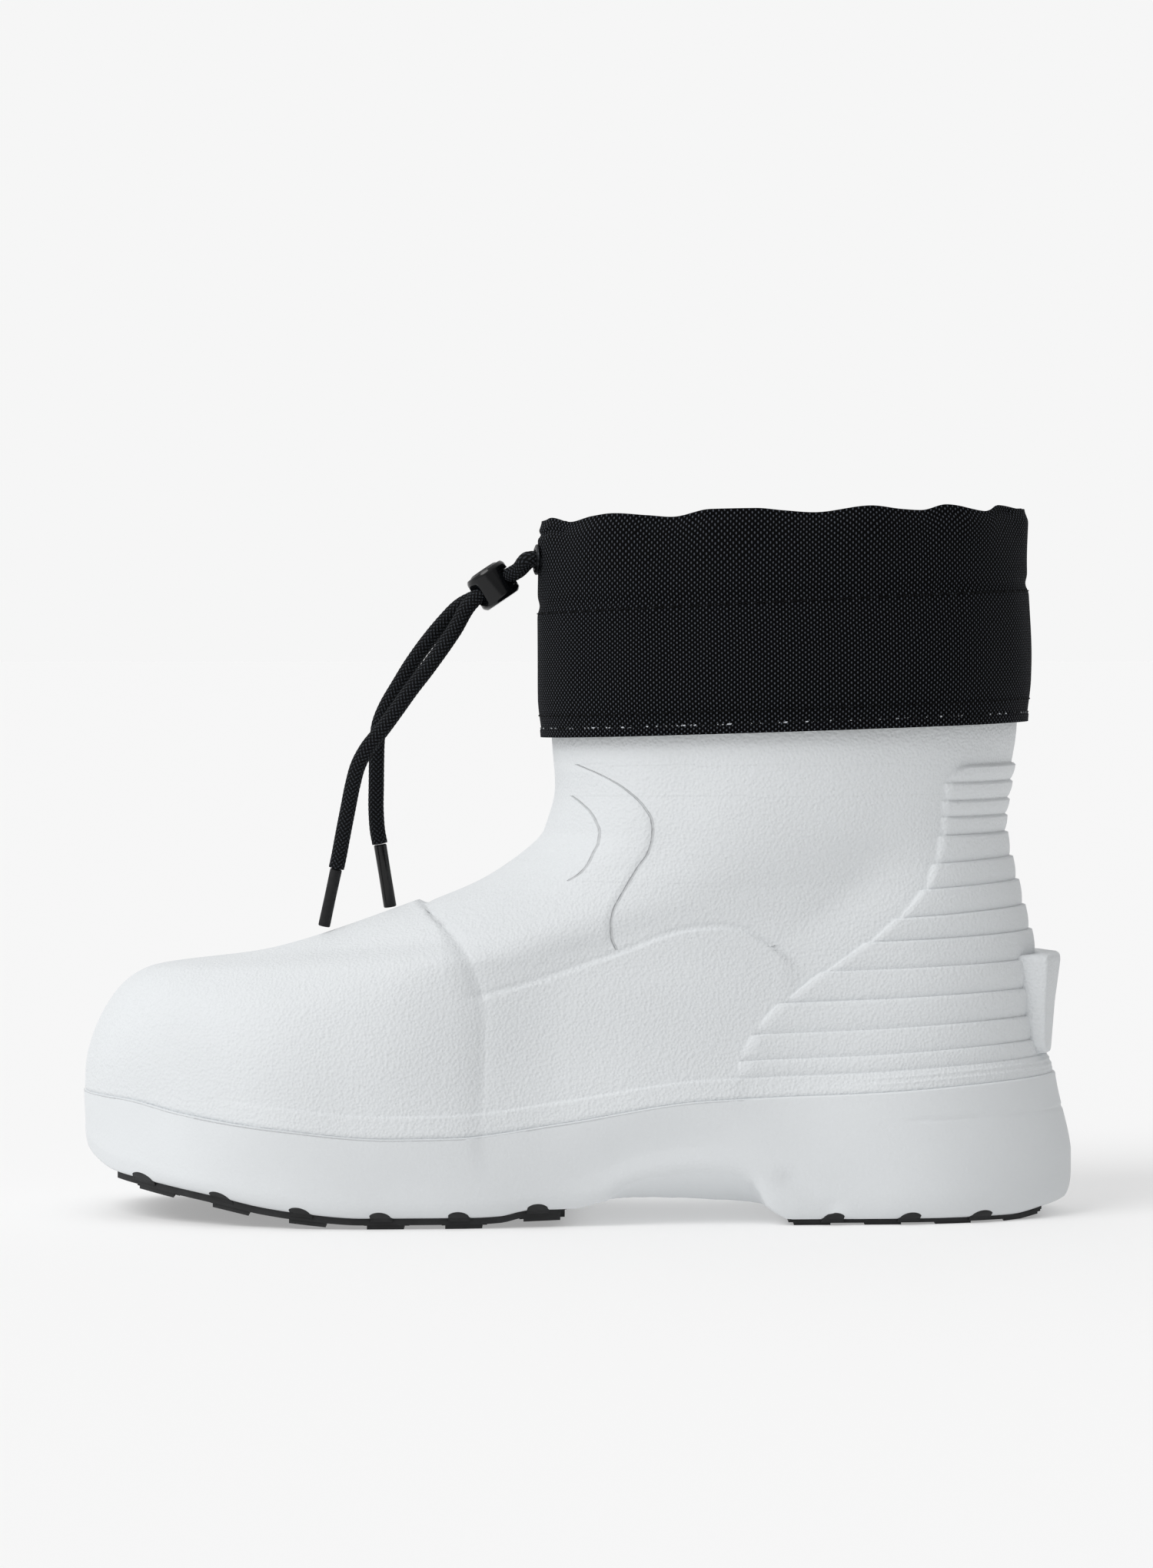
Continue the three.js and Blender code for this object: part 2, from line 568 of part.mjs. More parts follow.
// Sole outline and the closed forms that the sole unit is cut from.
const planStations = SOLE_PLAN.map((row) => row[0]);
const planWidths = SOLE_PLAN.slice(1, -1).map((row) => row[1] * BALL_WIDTH);
const planHeelRadius = SOLE_PLAN[0][1] * BALL_WIDTH;
const planToeRadius = SOLE_PLAN.at(-1)[1] * BALL_WIDTH;
const planWidth = widthCurve(BOOT_LENGTH, planHeelRadius, planWidths, planToeRadius, planStations);

function planHalf(x, margin) {
  const s = Math.min(Math.max(heelShare(x), 0), 1);
  return 2 * Math.sqrt(s * (1 - s)) * planWidth(s) - margin;
}

function planPoint(angle, inset, z) {
  const s = (1 - Math.cos(angle)) / 2;
  const x = (0.5 - s) * (BOOT_LENGTH - 2 * inset);
  const half = planWidth(s) * Math.sin(angle);
  return new THREE.Vector3(x, lastLine(s) - half * (1 - inset / BALL_WIDTH * 2), z);
}

const RIM_OVERLAP = 0.2;
const SOLE_LEVELS = [
  { fall: 0, bulge: 0 }, { fall: 0.12, bulge: 0.35 }, { fall: 0.3, bulge: 0.75 },
  { fall: 0.55, bulge: 1 }, { fall: 0.8, bulge: 1 },
];
function soleForm() {
  const { angles } = ringAngles(LEDGE_HEIGHT);
  const rim = angles.map((angle) => ledgePoint(angle, LEDGE_STEP, 0));
  const lid = angles.map((angle) => ledgePoint(angle, -UPPER_WALL - CUP_CORNER / 2, 0));
  const sides = SOLE_LEVELS.map(({ fall, bulge }) => angles.map((angle, i) => {
    const plan = planPoint(angle, 0, 0);
    const point = rim[i].clone().lerp(plan, bulge);
    point.z = mix(rim[i].z, rimLine(heelShare(plan.x)), fall);
    return point;
  }));
  const tucked = angles.map((angle) => {
    const toeShare = ease(0.86, 1, (1 - Math.cos(angle)) / 2);
    const point = planPoint(angle, mix(SOLE_TUCK, TOE_TUCK, toeShare), 0);
    point.z = rimLine(heelShare(point.x)) - RIM_OVERLAP;
    return point;
  });
  const under = tucked.map((point) => new THREE.Vector3(point.x, point.y, -BODY_DEPTH));
  return skin([lid, ...sides, tucked, under], 'caps');
}

function cupForm() {
  const { angles } = ringAngles(LEDGE_HEIGHT);
  const ringAtFloor = (inset, lift) => angles.map((angle) => {
    const point = ledgePoint(angle, -UPPER_WALL - inset, 0);
    point.z = footbedLine(heelShare(point.x)) + lift;
    return point;
  });
  const above = angles.map((angle) => ledgePoint(angle, -UPPER_WALL, CUP_CORNER));
  return skin([ringAtFloor(CUP_CORNER, 0), ringAtFloor(0, CUP_CORNER), above], 'caps');
}

// A bar along the boot with a four-cornered section at each station.
function bar(stations, section) {
  const rings = stations.map((x) => section(x).map(([y, z]) => new THREE.Vector3(x, y, z)));
  return skin(rings, 'caps');
}

function spaced(from, to, count) {
  return Array.from({ length: count }, (unused, i) => mix(from, to, i / (count - 1)));
}

const GROUND_CUT_WIDTH = 90;
const GROUND_CUT_DEPTH = 25;
function groundCut() {
  const stations = spaced(-BOOT_LENGTH / 2 - BODY_DEPTH, BOOT_LENGTH / 2 + BODY_DEPTH, 44);
  return bar(stations, (x) => {
    const rim = rimLine(heelShare(x));
    return [[-GROUND_CUT_WIDTH, -GROUND_CUT_DEPTH], [-GROUND_CUT_WIDTH, rim],
      [GROUND_CUT_WIDTH, rim], [GROUND_CUT_WIDTH, -GROUND_CUT_DEPTH]];
  });
}

// Scoop of the arch: a wedge that rises from the bridge to the side of the sole.
const SCOOP_BEYOND = 20;
function scoopCut({ side, front, back }) {
  return bar(spaced(front * BOOT_LENGTH, back * BOOT_LENGTH, 11), (x) => {
    const edge = planHalf(x, 0);
    const roof = scoopRoof((x / BOOT_LENGTH - front) / (back - front));
    const slope = (roof - BRIDGE_EDGE_HEIGHT) / (edge - BRIDGE_HALF_WIDTH);
    const near = lastLine(heelShare(x)) + side * BRIDGE_HALF_WIDTH;
    const far = lastLine(heelShare(x)) + side * (edge + SCOOP_BEYOND);
    return [[near, BRIDGE_EDGE_HEIGHT], [far, roof + slope * SCOOP_BEYOND],
      [far, -GROUND_CUT_DEPTH], [near, -GROUND_CUT_DEPTH]];
  });
}

// Rubber plates follow the rim line. All of a plate's cross lugs and edge lugs are one body.
const PLATES = {
  outsole_forefoot: { front: -0.44, back: -0.012, lugDrop: FOREFOOT_RIM_HEIGHT },
  outsole_heel: { front: 0.21, back: 0.465, lugDrop: HEEL_RIM_HEIGHT },
};

const PLATE_STATION = 9;
function plateBar(front, back, margin, grow) {
  const from = front * BOOT_LENGTH - grow;
  const to = back * BOOT_LENGTH + grow;
  const count = Math.ceil((to - from) / PLATE_STATION) + 1;
  return bar(spaced(from, to, count), (x) => {
    const centre = lastLine(heelShare(x));
    const half = planHalf(x, margin) + grow;
    const rim = rimLine(heelShare(x));
    const low = grow > 0 ? -BODY_DEPTH : Math.max(rim - PLATE_BELOW_RIM, PLATE_LOWEST);
    return [[centre - half, low], [centre - half, rim + POCKET_DEPTH + grow],
      [centre + half, rim + POCKET_DEPTH + grow], [centre + half, low]];
  });
}

function lugBar(x, length, lugDrop, span) {
  return bar([x - length / 2, x, x + length / 2], (station) => {
    const centre = lastLine(heelShare(station));
    const [near, far] = span(station);
    const rim = rimLine(heelShare(station));
    const low = rim - lugDrop;
    const high = rim - PLATE_BELOW_RIM + LUG_FUSE;
    return [[centre + near, low], [centre + near, high], [centre + far, high], [centre + far, low]];
  });
}

// Cross lugs of one row, as shares of the plate's half width.
const LUG_SPANS = [[-0.8, -0.3], [-0.22, 0.22], [0.3, 0.8]];
function makeOutsole({ front, back, lugDrop }) {
  let body = toSolid(plateBar(front, back, PLATE_MARGIN, 0));
  const from = front * BOOT_LENGTH + LUG_LENGTH / 2;
  const to = back * BOOT_LENGTH - LUG_LENGTH / 2;
  const rows = Math.max(Math.round((to - from) / LUG_PITCH), 1);
  for (let row = 0; row <= rows; row += 1) {
    const x = mix(from, to, row / rows);
    for (const lugSpan of LUG_SPANS) {
      const span = (station) => lugSpan.map((share) => planHalf(station, PLATE_MARGIN) * share);
      body = body.add(toSolid(lugBar(x, LUG_LENGTH, lugDrop, span)));
    }
    for (const side of [-1, 1]) {
      const span = (station) => [
        side * (planHalf(station, SOLE_TUCK + EDGE_LUG_MARGIN) - EDGE_LUG_DEPTH),
        side * planHalf(station, SOLE_TUCK + EDGE_LUG_MARGIN),
      ].sort((a, b) => a - b);
      body = body.add(toSolid(lugBar(x, EDGE_LUG_LENGTH, lugDrop, span)));
    }
  }
  return toGeometry(body);
}

function makeMidsole() {
  let body = toSolid(soleForm()).subtract(toSolid(cupForm())).subtract(toSolid(groundCut()));
  for (const scoop of SCOOPS) body = body.subtract(toSolid(scoopCut(scoop)));
  for (const { front, back } of Object.values(PLATES)) {
    body = body.subtract(toSolid(plateBar(front, back, PLATE_MARGIN, SEAT_GAP)));
  }
  return toGeometry(body);
}

function makeInsole() {
  const { angles } = ringAngles(LEDGE_HEIGHT);
  const level = (inset, lift) => angles.map((angle) => {
    const point = ledgePoint(angle, -UPPER_WALL - INSOLE_CLEARANCE - inset, 0);
    point.z = footbedLine(heelShare(point.x)) + SEAT_GAP + lift;
    return point;
  });
  const corner = CUP_CORNER + INSOLE_CORNER_GAP;
  const rings = [
    level(corner, 0), level(INSOLE_CORNER_GAP, corner), level(INSOLE_CORNER_GAP, INSOLE_THICKNESS),
  ];
  return skin(rings, 'caps');
}

// Cuff: a gathered fabric ring around the top of the shaft, open at both ends.
function cuffProud(height, angle) {
  const seam = SEAM_NOTCH * Math.exp(-(((height - SEAM_HEIGHT) / SEAM_NOTCH_WIDTH) ** 2));
  const gathered = ease(SEAM_HEIGHT + GATHER_START, BOOT_HEIGHT, height);
  const gather = gathered * GATHER_DEPTH * Math.sin(GATHER_COUNT * angle);
  const hemPinch = HEM_PINCH * (1 - ease(HEM_HEIGHT, HEM_HEIGHT + HEM_PINCH_HEIGHT, height));
  const rimRound = RIM_ROUND * ease(BOOT_HEIGHT - RIM_ROUND_HEIGHT, BOOT_HEIGHT, height);
  return SEAT_GAP + CUFF_WALL + CUFF_LOOSENESS - seam + gather - hemPinch - rimRound;
}

function cuffSkin() {
  const angles = evenAngles(CUFF_COLUMNS);
  const outerHeights = [
    HEM_HEIGHT, HEM_HEIGHT + HEM_ROLL, (HEM_HEIGHT + SEAM_HEIGHT) / 2,
    SEAM_HEIGHT - SEAM_HALF_HEIGHT, SEAM_HEIGHT, SEAM_HEIGHT + SEAM_HALF_HEIGHT,
    BOOT_HEIGHT - GATHER_FULL_DEPTH, BOOT_HEIGHT - RIM_ROUND_HEIGHT / 2, BOOT_HEIGHT,
  ];
  const outer = outerHeights.map((height) => (
    angles.map((angle) => offsetPoint(height, angle, cuffProud(height, angle)))
  ));
  const innerHeights = [
    BOOT_HEIGHT, BOOT_HEIGHT - GATHER_FULL_DEPTH, SEAM_HEIGHT, COLLAR_HEIGHT, HEM_HEIGHT,
  ];
  const inner = innerHeights.map((height) => angles.map((angle) => {
    const gather = cuffProud(height, angle) - cuffProud(height, 0);
    const above = ease(COLLAR_HEIGHT, SEAM_HEIGHT, height);
    return offsetPoint(height, angle, LINING_GAP + gather * above);
  }));
  return skin([...outer, ...inner], 'loop');
}

// Where an eyelet sits: a point on the cuff's outer face and the way out of it.
function eyeletSeat(side) {
  const y = side * EYELET_SPACING / 2;
  let low = Math.PI / 2;
  let high = Math.PI;
  for (let i = 0; i < 30; i += 1) {
    const middle = (low + high) / 2;
    if (Math.abs(offsetPoint(EYELET_HEIGHT, middle, CUFF_WALL).y) > Math.abs(y)) low = middle;
    else high = middle;
  }
  const angle = side < 0 ? low : 2 * Math.PI - low;
  const height = EYELET_HEIGHT + (EYELET_HEIGHT - plainPoint(EYELET_HEIGHT, angle).z);
  return { point: offsetPoint(height, angle, cuffProud(height, angle)), way: outward(height, angle) };
}

function turnedTo(geometry, point, way) {
  const turn = new THREE.Quaternion().setFromUnitVectors(new THREE.Vector3(0, 1, 0), way);
  return geometry.applyQuaternion(turn).translate(point.x, point.y, point.z);
}

function lathe(profile, segments) {
  return new THREE.LatheGeometry(profile.map(([r, z]) => new THREE.Vector2(r, z)), segments);
}

const BORE_RADIUS = CORD_DIAMETER / 2 + CORD_CLEARANCE;
const EYELET_BARREL = BORE_RADIUS + EYELET_WALL;
function eyeletGeometry({ point, way }) {
  const crown = EYELET_SEAT + EYELET_FLANGE_THICKNESS;
  const profile = [
    [BORE_RADIUS, -CUFF_WALL], [EYELET_BARREL, -CUFF_WALL], [EYELET_BARREL, EYELET_SEAT],
    [EYELET_FLANGE, EYELET_SEAT], [EYELET_FLANGE, mix(EYELET_SEAT, crown, 0.6)],
    [EYELET_BARREL, crown], [BORE_RADIUS, crown], [BORE_RADIUS, -CUFF_WALL],
  ];
  return turnedTo(lathe(profile, 14), point, way);
}

function makeCuff(seats) {
  let body = toSolid(cuffSkin());
  for (const { point, way } of seats) {
    const radius = EYELET_BARREL + SEAT_GAP;
    const hole = new THREE.CylinderGeometry(radius, radius, 4 * CUFF_WALL, 16);
    body = body.subtract(toSolid(turnedTo(hole, point, way)));
  }
  return toGeometry(body);
}

const seats = [eyeletSeat(-1), eyeletSeat(1)];
const cordOrigin = seats[0].point.clone().add(seats[1].point).divideScalar(2).setY(0);
function hung(place) {
  return new THREE.Vector3(...place).add(cordOrigin);
}

// Cord lock: a barrel with a slot for both strands and the end of its plunger.
const LOCK_PLACE = 2;
const lockCentre = hung(STRAND_LEFT[LOCK_PLACE]).setY(0);
const lockWay = new THREE.Vector3(-Math.sin(LOCK_TILT), 0, Math.cos(LOCK_TILT));
function lockGeometry() {
  const radius = LOCK_DIAMETER / 2;
  const half = LOCK_LENGTH / 2;
  const recess = LOCK_BUTTON_DIAMETER / 2 + SEAT_GAP;
  const profile = [
    [0, -half], [radius - LOCK_CHAMFER, -half], [radius, -half + LOCK_CHAMFER],
    [radius, half - LOCK_CHAMFER], [radius - LOCK_CHAMFER * 0.6, half], [recess, half],
    [recess, half - LOCK_BUTTON_DEPTH], [0, half - LOCK_BUTTON_DEPTH],
  ];
  const barrel = toSolid(turnedTo(lathe(profile, 24), lockCentre, lockWay));
  const slotHalf = CORD_DIAMETER / 2 + CORD_CLEARANCE;
  const reach = CORD_GAP / 2 + CORD_DIAMETER / 2;
  const slot = new THREE.Shape();
  slot.absarc(reach, 0, slotHalf, -Math.PI / 2, Math.PI / 2);
  slot.absarc(-reach, 0, slotHalf, Math.PI / 2, 3 * Math.PI / 2);
  const depth = 2 * LOCK_DIAMETER;
  const cut = new THREE.ExtrudeGeometry(slot, { depth, bevelEnabled: false, curveSegments: 6 });
  cut.translate(0, 0, -LOCK_DIAMETER);
  const alongCord = new THREE.Vector3(Math.cos(LOCK_TILT), 0, Math.sin(LOCK_TILT));
  const across = new THREE.Vector3(0, 1, 0);
  const upright = new THREE.Vector3().crossVectors(alongCord, across);
  cut.applyMatrix4(new THREE.Matrix4().makeBasis(across, upright, alongCord));
  cut.translate(lockCentre.x, lockCentre.y, lockCentre.z);
  return toGeometry(barrel.subtract(toSolid(cut)));
}

function lockButtonGeometry() {
  const radius = LOCK_BUTTON_DIAMETER / 2;
  const top = LOCK_LENGTH / 2 + LOCK_BUTTON_PROUD;
  const low = LOCK_LENGTH / 2 - LOCK_BUTTON_DEPTH + SEAT_GAP;
  const profile = [
    [0, low], [radius, low], [radius, top - TIP_CHAMFER], [radius - LOCK_BUTTON_CHAMFER, top], [0, top],
  ];
  return turnedTo(lathe(profile, 20), lockCentre, lockWay);
}

const CORD_STEP = 5.5;
const CORD_ROOT = 1.4;
const CORD_MOUTH = 3.4;
function strandGeometry({ point, way }, points) {
  const root = point.clone().addScaledVector(way, -CORD_ROOT);
  const mouth = point.clone().addScaledVector(way, CORD_MOUTH);
  const route = [root, mouth, ...points.map(hung)];
  const path = new THREE.CatmullRomCurve3(route, false, 'centripetal');
  const section = new THREE.Shape();
  for (let i = 0; i < CORD_SIDES; i += 1) {
    const angle = 2 * Math.PI * i / CORD_SIDES;
    const place = [CORD_DIAMETER / 2 * Math.cos(angle), CORD_DIAMETER / 2 * Math.sin(angle)];
    if (i === 0) section.moveTo(...place);
    else section.lineTo(...place);
  }
  section.closePath();
  const steps = Math.round(path.getLength() / CORD_STEP);
  return new THREE.ExtrudeGeometry(section, { steps, extrudePath: path, bevelEnabled: false });
}

function agletGeometry(points, tip, diameter) {
  const start = hung(points.at(-1));
  const end = hung(tip);
  const way = end.clone().sub(start).normalize();
  const length = end.distanceTo(start);
  const radius = diameter / 2;
  const profile = [
    [0, SEAT_GAP], [radius, SEAT_GAP], [radius, length - TIP_CHAMFER], [radius - TIP_CHAMFER, length],
    [0, length],
  ];
  return turnedTo(lathe(profile, 12), start, way);
}

addPiece('upper', makeUpper(), FOAM_WHITE);
addPiece('midsole', makeMidsole(), FOAM_WHITE);
addPiece('insole', makeInsole(), INSOLE_GREY);
for (const [name, plate] of Object.entries(PLATES)) addPiece(name, makeOutsole(plate), RUBBER_BLACK);
addPiece('cuff', makeCuff(seats), CANVAS_BLACK);
addPiece('eyelet_left', eyeletGeometry(seats[0]), EYELET_METAL);
addPiece('eyelet_right', eyeletGeometry(seats[1]), EYELET_METAL);
const looseNames = [
  'drawcord_left', 'drawcord_right', 'cord_lock', 'cord_lock_button', 'aglet_left', 'aglet_right',
];
addPiece('drawcord_left', strandGeometry(seats[0], STRAND_LEFT), BRAID_BLACK);
addPiece('drawcord_right', strandGeometry(seats[1], STRAND_RIGHT), BRAID_BLACK);
addPiece('cord_lock', lockGeometry(), PLASTIC_BLACK);
addPiece('cord_lock_button', lockButtonGeometry(), PLASTIC_BLACK);
const leftTip = agletGeometry(STRAND_LEFT, AGLET_LEFT_TIP, AGLET_LEFT_DIAMETER);
const rightTip = agletGeometry(STRAND_RIGHT, AGLET_RIGHT_TIP, AGLET_RIGHT_DIAMETER);
addPiece('aglet_left', leftTip, PLASTIC_BLACK);
addPiece('aglet_right', rightTip, PLASTIC_BLACK);

// The origin is the middle of the boot's box, on the floor, without the cord and its pieces.
const box = new THREE.Box3();
for (const mesh of boot.children) {
  if (!looseNames.includes(mesh.name)) box.union(new THREE.Box3().setFromObject(mesh));
}
boot.position.set(-(box.min.x + box.max.x) / 2, -(box.min.y + box.max.y) / 2, -box.min.z);

export default boot;
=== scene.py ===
# Moulded foam winter boot with a gathered canvas cuff and a drawcord: looks and studio.
import math

import bmesh
import bpy
import numpy as np
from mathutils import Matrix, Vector


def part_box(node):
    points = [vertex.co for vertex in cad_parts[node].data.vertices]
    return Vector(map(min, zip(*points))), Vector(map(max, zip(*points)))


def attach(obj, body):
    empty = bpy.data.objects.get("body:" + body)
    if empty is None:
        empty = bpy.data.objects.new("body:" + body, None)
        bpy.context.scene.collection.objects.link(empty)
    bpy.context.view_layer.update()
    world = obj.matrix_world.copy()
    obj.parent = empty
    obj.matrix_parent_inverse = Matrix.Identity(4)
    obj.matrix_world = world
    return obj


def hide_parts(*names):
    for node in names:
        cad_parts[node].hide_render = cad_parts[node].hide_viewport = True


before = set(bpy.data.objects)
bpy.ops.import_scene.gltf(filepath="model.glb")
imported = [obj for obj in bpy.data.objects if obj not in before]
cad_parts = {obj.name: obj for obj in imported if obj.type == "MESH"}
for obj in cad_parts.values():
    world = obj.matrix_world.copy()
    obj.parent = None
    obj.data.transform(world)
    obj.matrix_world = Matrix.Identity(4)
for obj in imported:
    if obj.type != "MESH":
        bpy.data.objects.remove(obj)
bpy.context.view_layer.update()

MM = 0.001

# Driving sizes of the boot, in millimetres
BOOT_LENGTH = 290
BALL_WIDTH = 109
BOOT_HEIGHT = 206
UPPER_WALL = 3.4
CUFF_WALL = 2.6
SEAT_GAP = 0.3
LEDGE_STEP = 1.3
LEDGE_DIP = 11.6
FOREFOOT_RIM_HEIGHT = 3.2
SCOOP_HEIGHT = 16.3
BRIDGE_HALF_WIDTH = 18
SOLE_TUCK, TOE_TUCK = 2.6, 0.6
COLLAR_HEIGHT = BOOT_HEIGHT - 46
HEM_HEIGHT = COLLAR_HEIGHT - 16
SEAM_HEIGHT = BOOT_HEIGHT - 22
EYELET_HEIGHT = BOOT_HEIGHT - 16
EYELET_SPACING = 14
CORD_DIAMETER = 4.6
CORD_CLEARANCE = 0.6
CORD_GAP = 0.8
LOCK_DIAMETER = 12.7
LOCK_LENGTH = 10.4
LOCK_TILT = math.radians(34)

# Tops of the heel ribs at the back of the boot, and of the band above the ledge
RIB_TOPS = (131.8, 126.8, 121.6, 116.8, 111.6, 104.4, 97.5, 90.1, 82.9, 74.8, 66.7, 58.6, 51.5)
BAND_TOP = 46.6

# Rings of the upper, in the shares that the solids use
RING_COLUMNS = ("heel_z", "toe_x", "toe_z", "heel_x", "heel_radius",
                "w10", "w30", "w50", "w70", "w85", "toe_radius")
RING_SCALES = (BOOT_HEIGHT, BOOT_LENGTH, BOOT_HEIGHT, BOOT_LENGTH) + (BALL_WIDTH,) * 7
RINGS = {
    "ledge": (0.201, -0.498, 0.172, 0.478, 0.275, 0.335, 0.372, 0.399, 0.482, 0.450, 0.312),
    "band": (0.231, -0.497, 0.204, 0.470, 0.284, 0.326, 0.362, 0.390, 0.472, 0.440, 0.312),
    "wall": (0.286, -0.490, 0.252, 0.464, 0.284, 0.317, 0.353, 0.376, 0.463, 0.427, 0.312),
    "brow": (0.340, -0.473, 0.303, 0.463, 0.284, 0.312, 0.349, 0.367, 0.436, 0.390, 0.284),
    "toe_top": (0.388, -0.436, 0.346, 0.457, 0.284, 0.307, 0.344, 0.353, 0.394, 0.312, 0.183),
    "vamp": (0.437, -0.316, 0.372, 0.448, 0.284, 0.303, 0.339, 0.349, 0.353, 0.266, 0.147),
    "cap_edge": (0.481, -0.162, 0.436, 0.440, 0.284, 0.284, 0.344, 0.362, 0.339, 0.266, 0.156),
    "instep": (0.515, -0.087, 0.481, 0.434, 0.284, 0.271, 0.358, 0.381, 0.349, 0.280, 0.202),
    "throat": (0.549, -0.033, 0.544, 0.430, 0.303, 0.266, 0.381, 0.404, 0.372, 0.303, 0.275),
    "shaft": (0.617, -0.022, 0.607, 0.436, 0.339, 0.280, 0.404, 0.427, 0.390, 0.317, 0.330),
    "shaft_top": (0.689, -0.025, 0.667, 0.444, 0.367, 0.289, 0.422, 0.445, 0.404, 0.326, 0.349),
    "collar": (0.791, -0.028, 0.765, 0.446, 0.367, 0.294, 0.427, 0.450, 0.408, 0.330, 0.349),
    "channel": (0.893, -0.028, 0.861, 0.443, 0.367, 0.294, 0.427, 0.450, 0.408, 0.330, 0.349),
    "rim": (1.000, -0.026, 0.981, 0.441, 0.367, 0.294, 0.427, 0.450, 0.408, 0.330, 0.349),
}
WIDTH_STATIONS = (0, 0.1, 0.3, 0.5, 0.7, 0.85, 1)

# Share from the heel and value, as the solids have them
SOLE_PLAN = ((0, 0.25), (0.1, 0.33), (0.25, 0.39), (0.45, 0.388), (0.65, 0.475), (0.8, 0.491),
             (0.94, 0.321), (1, 0.312))
LAST_LINE = ((0, 0), (0.25, -0.009), (0.45, -0.034), (0.55, -0.039), (0.65, -0.03),
             (0.72, -0.018), (0.8, 0.005), (0.88, 0.037), (0.94, 0.064), (1, 0.083))
DIP_LINE = ((0, 0), (0.08, 0.07), (0.2, 0.2), (0.36, 0.28), (0.51, 0.75), (0.61, 1),
            (0.68, 0.98), (0.79, 0.71), (0.89, 0.36), (0.95, 0.07), (1, 0))
RIM_LINE = ((0, 1.5), (0.03, 1.1), (0.07, 0.5625), (0.29, 0.5625), (0.312, 1.44), (0.472, 2.2),
            (0.5, 1.65), (0.55, 1.55), (0.575, 1.1), (0.6, 1), (0.71, 1), (0.77, 1.4),
            (0.81, 1.85), (0.85, 2.55), (0.9, 3.3), (0.93, 3.75), (0.965, 4.3), (0.985, 5.2),
            (1, 6.3))
FOOTBED_LINE = ((0, 0.132), (0.2, 0.126), (0.35, 0.11), (0.5, 0.085), (0.7, 0.067),
                (0.85, 0.075), (1, 0.105))
CAP_EDGE = ((0.16, -0.099), (0.21, -0.096), (0.29, -0.095), (0.33, -0.1), (0.373, -0.111),
            (0.403, -0.126), (0.43, -0.148))
HEEL_PANEL_EDGE = ((0.18, 0.156), (0.206, 0.158), (0.239, 0.162), (0.257, 0.17), (0.284, 0.182),
                   (0.318, 0.21), (0.358, 0.25), (0.395, 0.289), (0.436, 0.323),
                   (0.469, 0.343), (0.509, 0.3545), (0.535, 0.3586), (0.56, 0.3617),
                   (0.587, 0.3625), (0.617, 0.366), (0.634, 0.373), (0.643, 0.385))
SIDE_PANEL_LINE = ((-0.095, 0.318), (-0.034, 0.341), (0.005, 0.36), (0.045, 0.379),
                   (0.084, 0.4), (0.108, 0.409), (0.14, 0.413), (0.163, 0.409),
                   (0.187, 0.392), (0.208, 0.37), (0.223, 0.35))
# Ankle line and the arc in front of it: height and place along the boot, in millimetres
ANKLE_LINE = ((78.8, 11.5), (82.5, 10), (86.3, 9.8), (90.4, 10.6), (94.2, 12.6), (98.6, 15.2),
              (102.7, 17.7), (106.4, 20.3), (110.6, 21.6), (113.5, 21.8), (116.3, 21.4),
              (118.9, 19.9), (121.6, 17.7), (124.4, 14.4), (126.4, 11.5), (128.2, 8),
              (129.5, 5.2), (130.8, 1.9))
ARC_LINE = ((97.9, -2.7), (100.6, 1.4), (103.6, 3.8), (106.3, 5.1), (109.1, 6.5), (112.4, 6.9),
            (115, 6), (117.9, 4.3), (120.2, 1.9), (122.2, -0.8), (123.3, -3.2))
SCOOP_ROOF = ((0, 0.3), (0.1, 0.6), (0.2, 0.77), (0.35, 0.9), (0.6, 1), (0.8, 0.96),
              (0.92, 0.8), (1, 0.35))
SCOOPS = {-1: (0.02, 0.187), 1: (-0.03, 0.187)}

# Middle of the frame's box in the sizes above: the solids are shifted so that it is the origin.
_sole_low, _sole_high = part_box("midsole")


def smooth_slopes(keys, values):
    steps = np.diff(values, axis=-1) / np.diff(keys)
    slopes = np.zeros(np.shape(values))
    slopes[..., 0], slopes[..., -1] = steps[..., 0], steps[..., -1]
    left, right = steps[..., :-1], steps[..., 1:]
    same = left * right > 0
    total = np.where(same, left + right, 1)
    slopes[..., 1:-1] = np.where(same, 2 * left * right / total, 0)
    return slopes


def smooth_curve(rows, key_scale=1, value_scale=1):
    """Cubic curve through table rows that never overshoots them."""
    keys = np.array([row[0] for row in rows], float) * key_scale
    values = np.array([row[1] for row in rows], float) * value_scale
    slopes = smooth_slopes(keys, values)

    def at(x):
        x = np.asarray(x, float)
        i = np.clip(np.searchsorted(keys, x, side="right") - 1, 0, len(keys) - 2)
        span = keys[i + 1] - keys[i]
        t = (x - keys[i]) / span
        inside = (values[i] * (1 + 2 * t) * (1 - t) ** 2 + span * slopes[i] * t * (1 - t) ** 2
                  + values[i + 1] * t * t * (3 - 2 * t) + span * slopes[i + 1] * t * t * (t - 1))
        before = values[0] + slopes[0] * (x - keys[0])
        after = values[-1] + slopes[-1] * (x - keys[-1])
        return np.where(x < keys[0], before, np.where(x > keys[-1], after, inside))

    return at


def mix(a, b, t):
    return a + (b - a) * t


def ease(low, high, value):
    t = np.clip((value - low) / (high - low), 0, 1)
    return t * t * (3 - 2 * t)


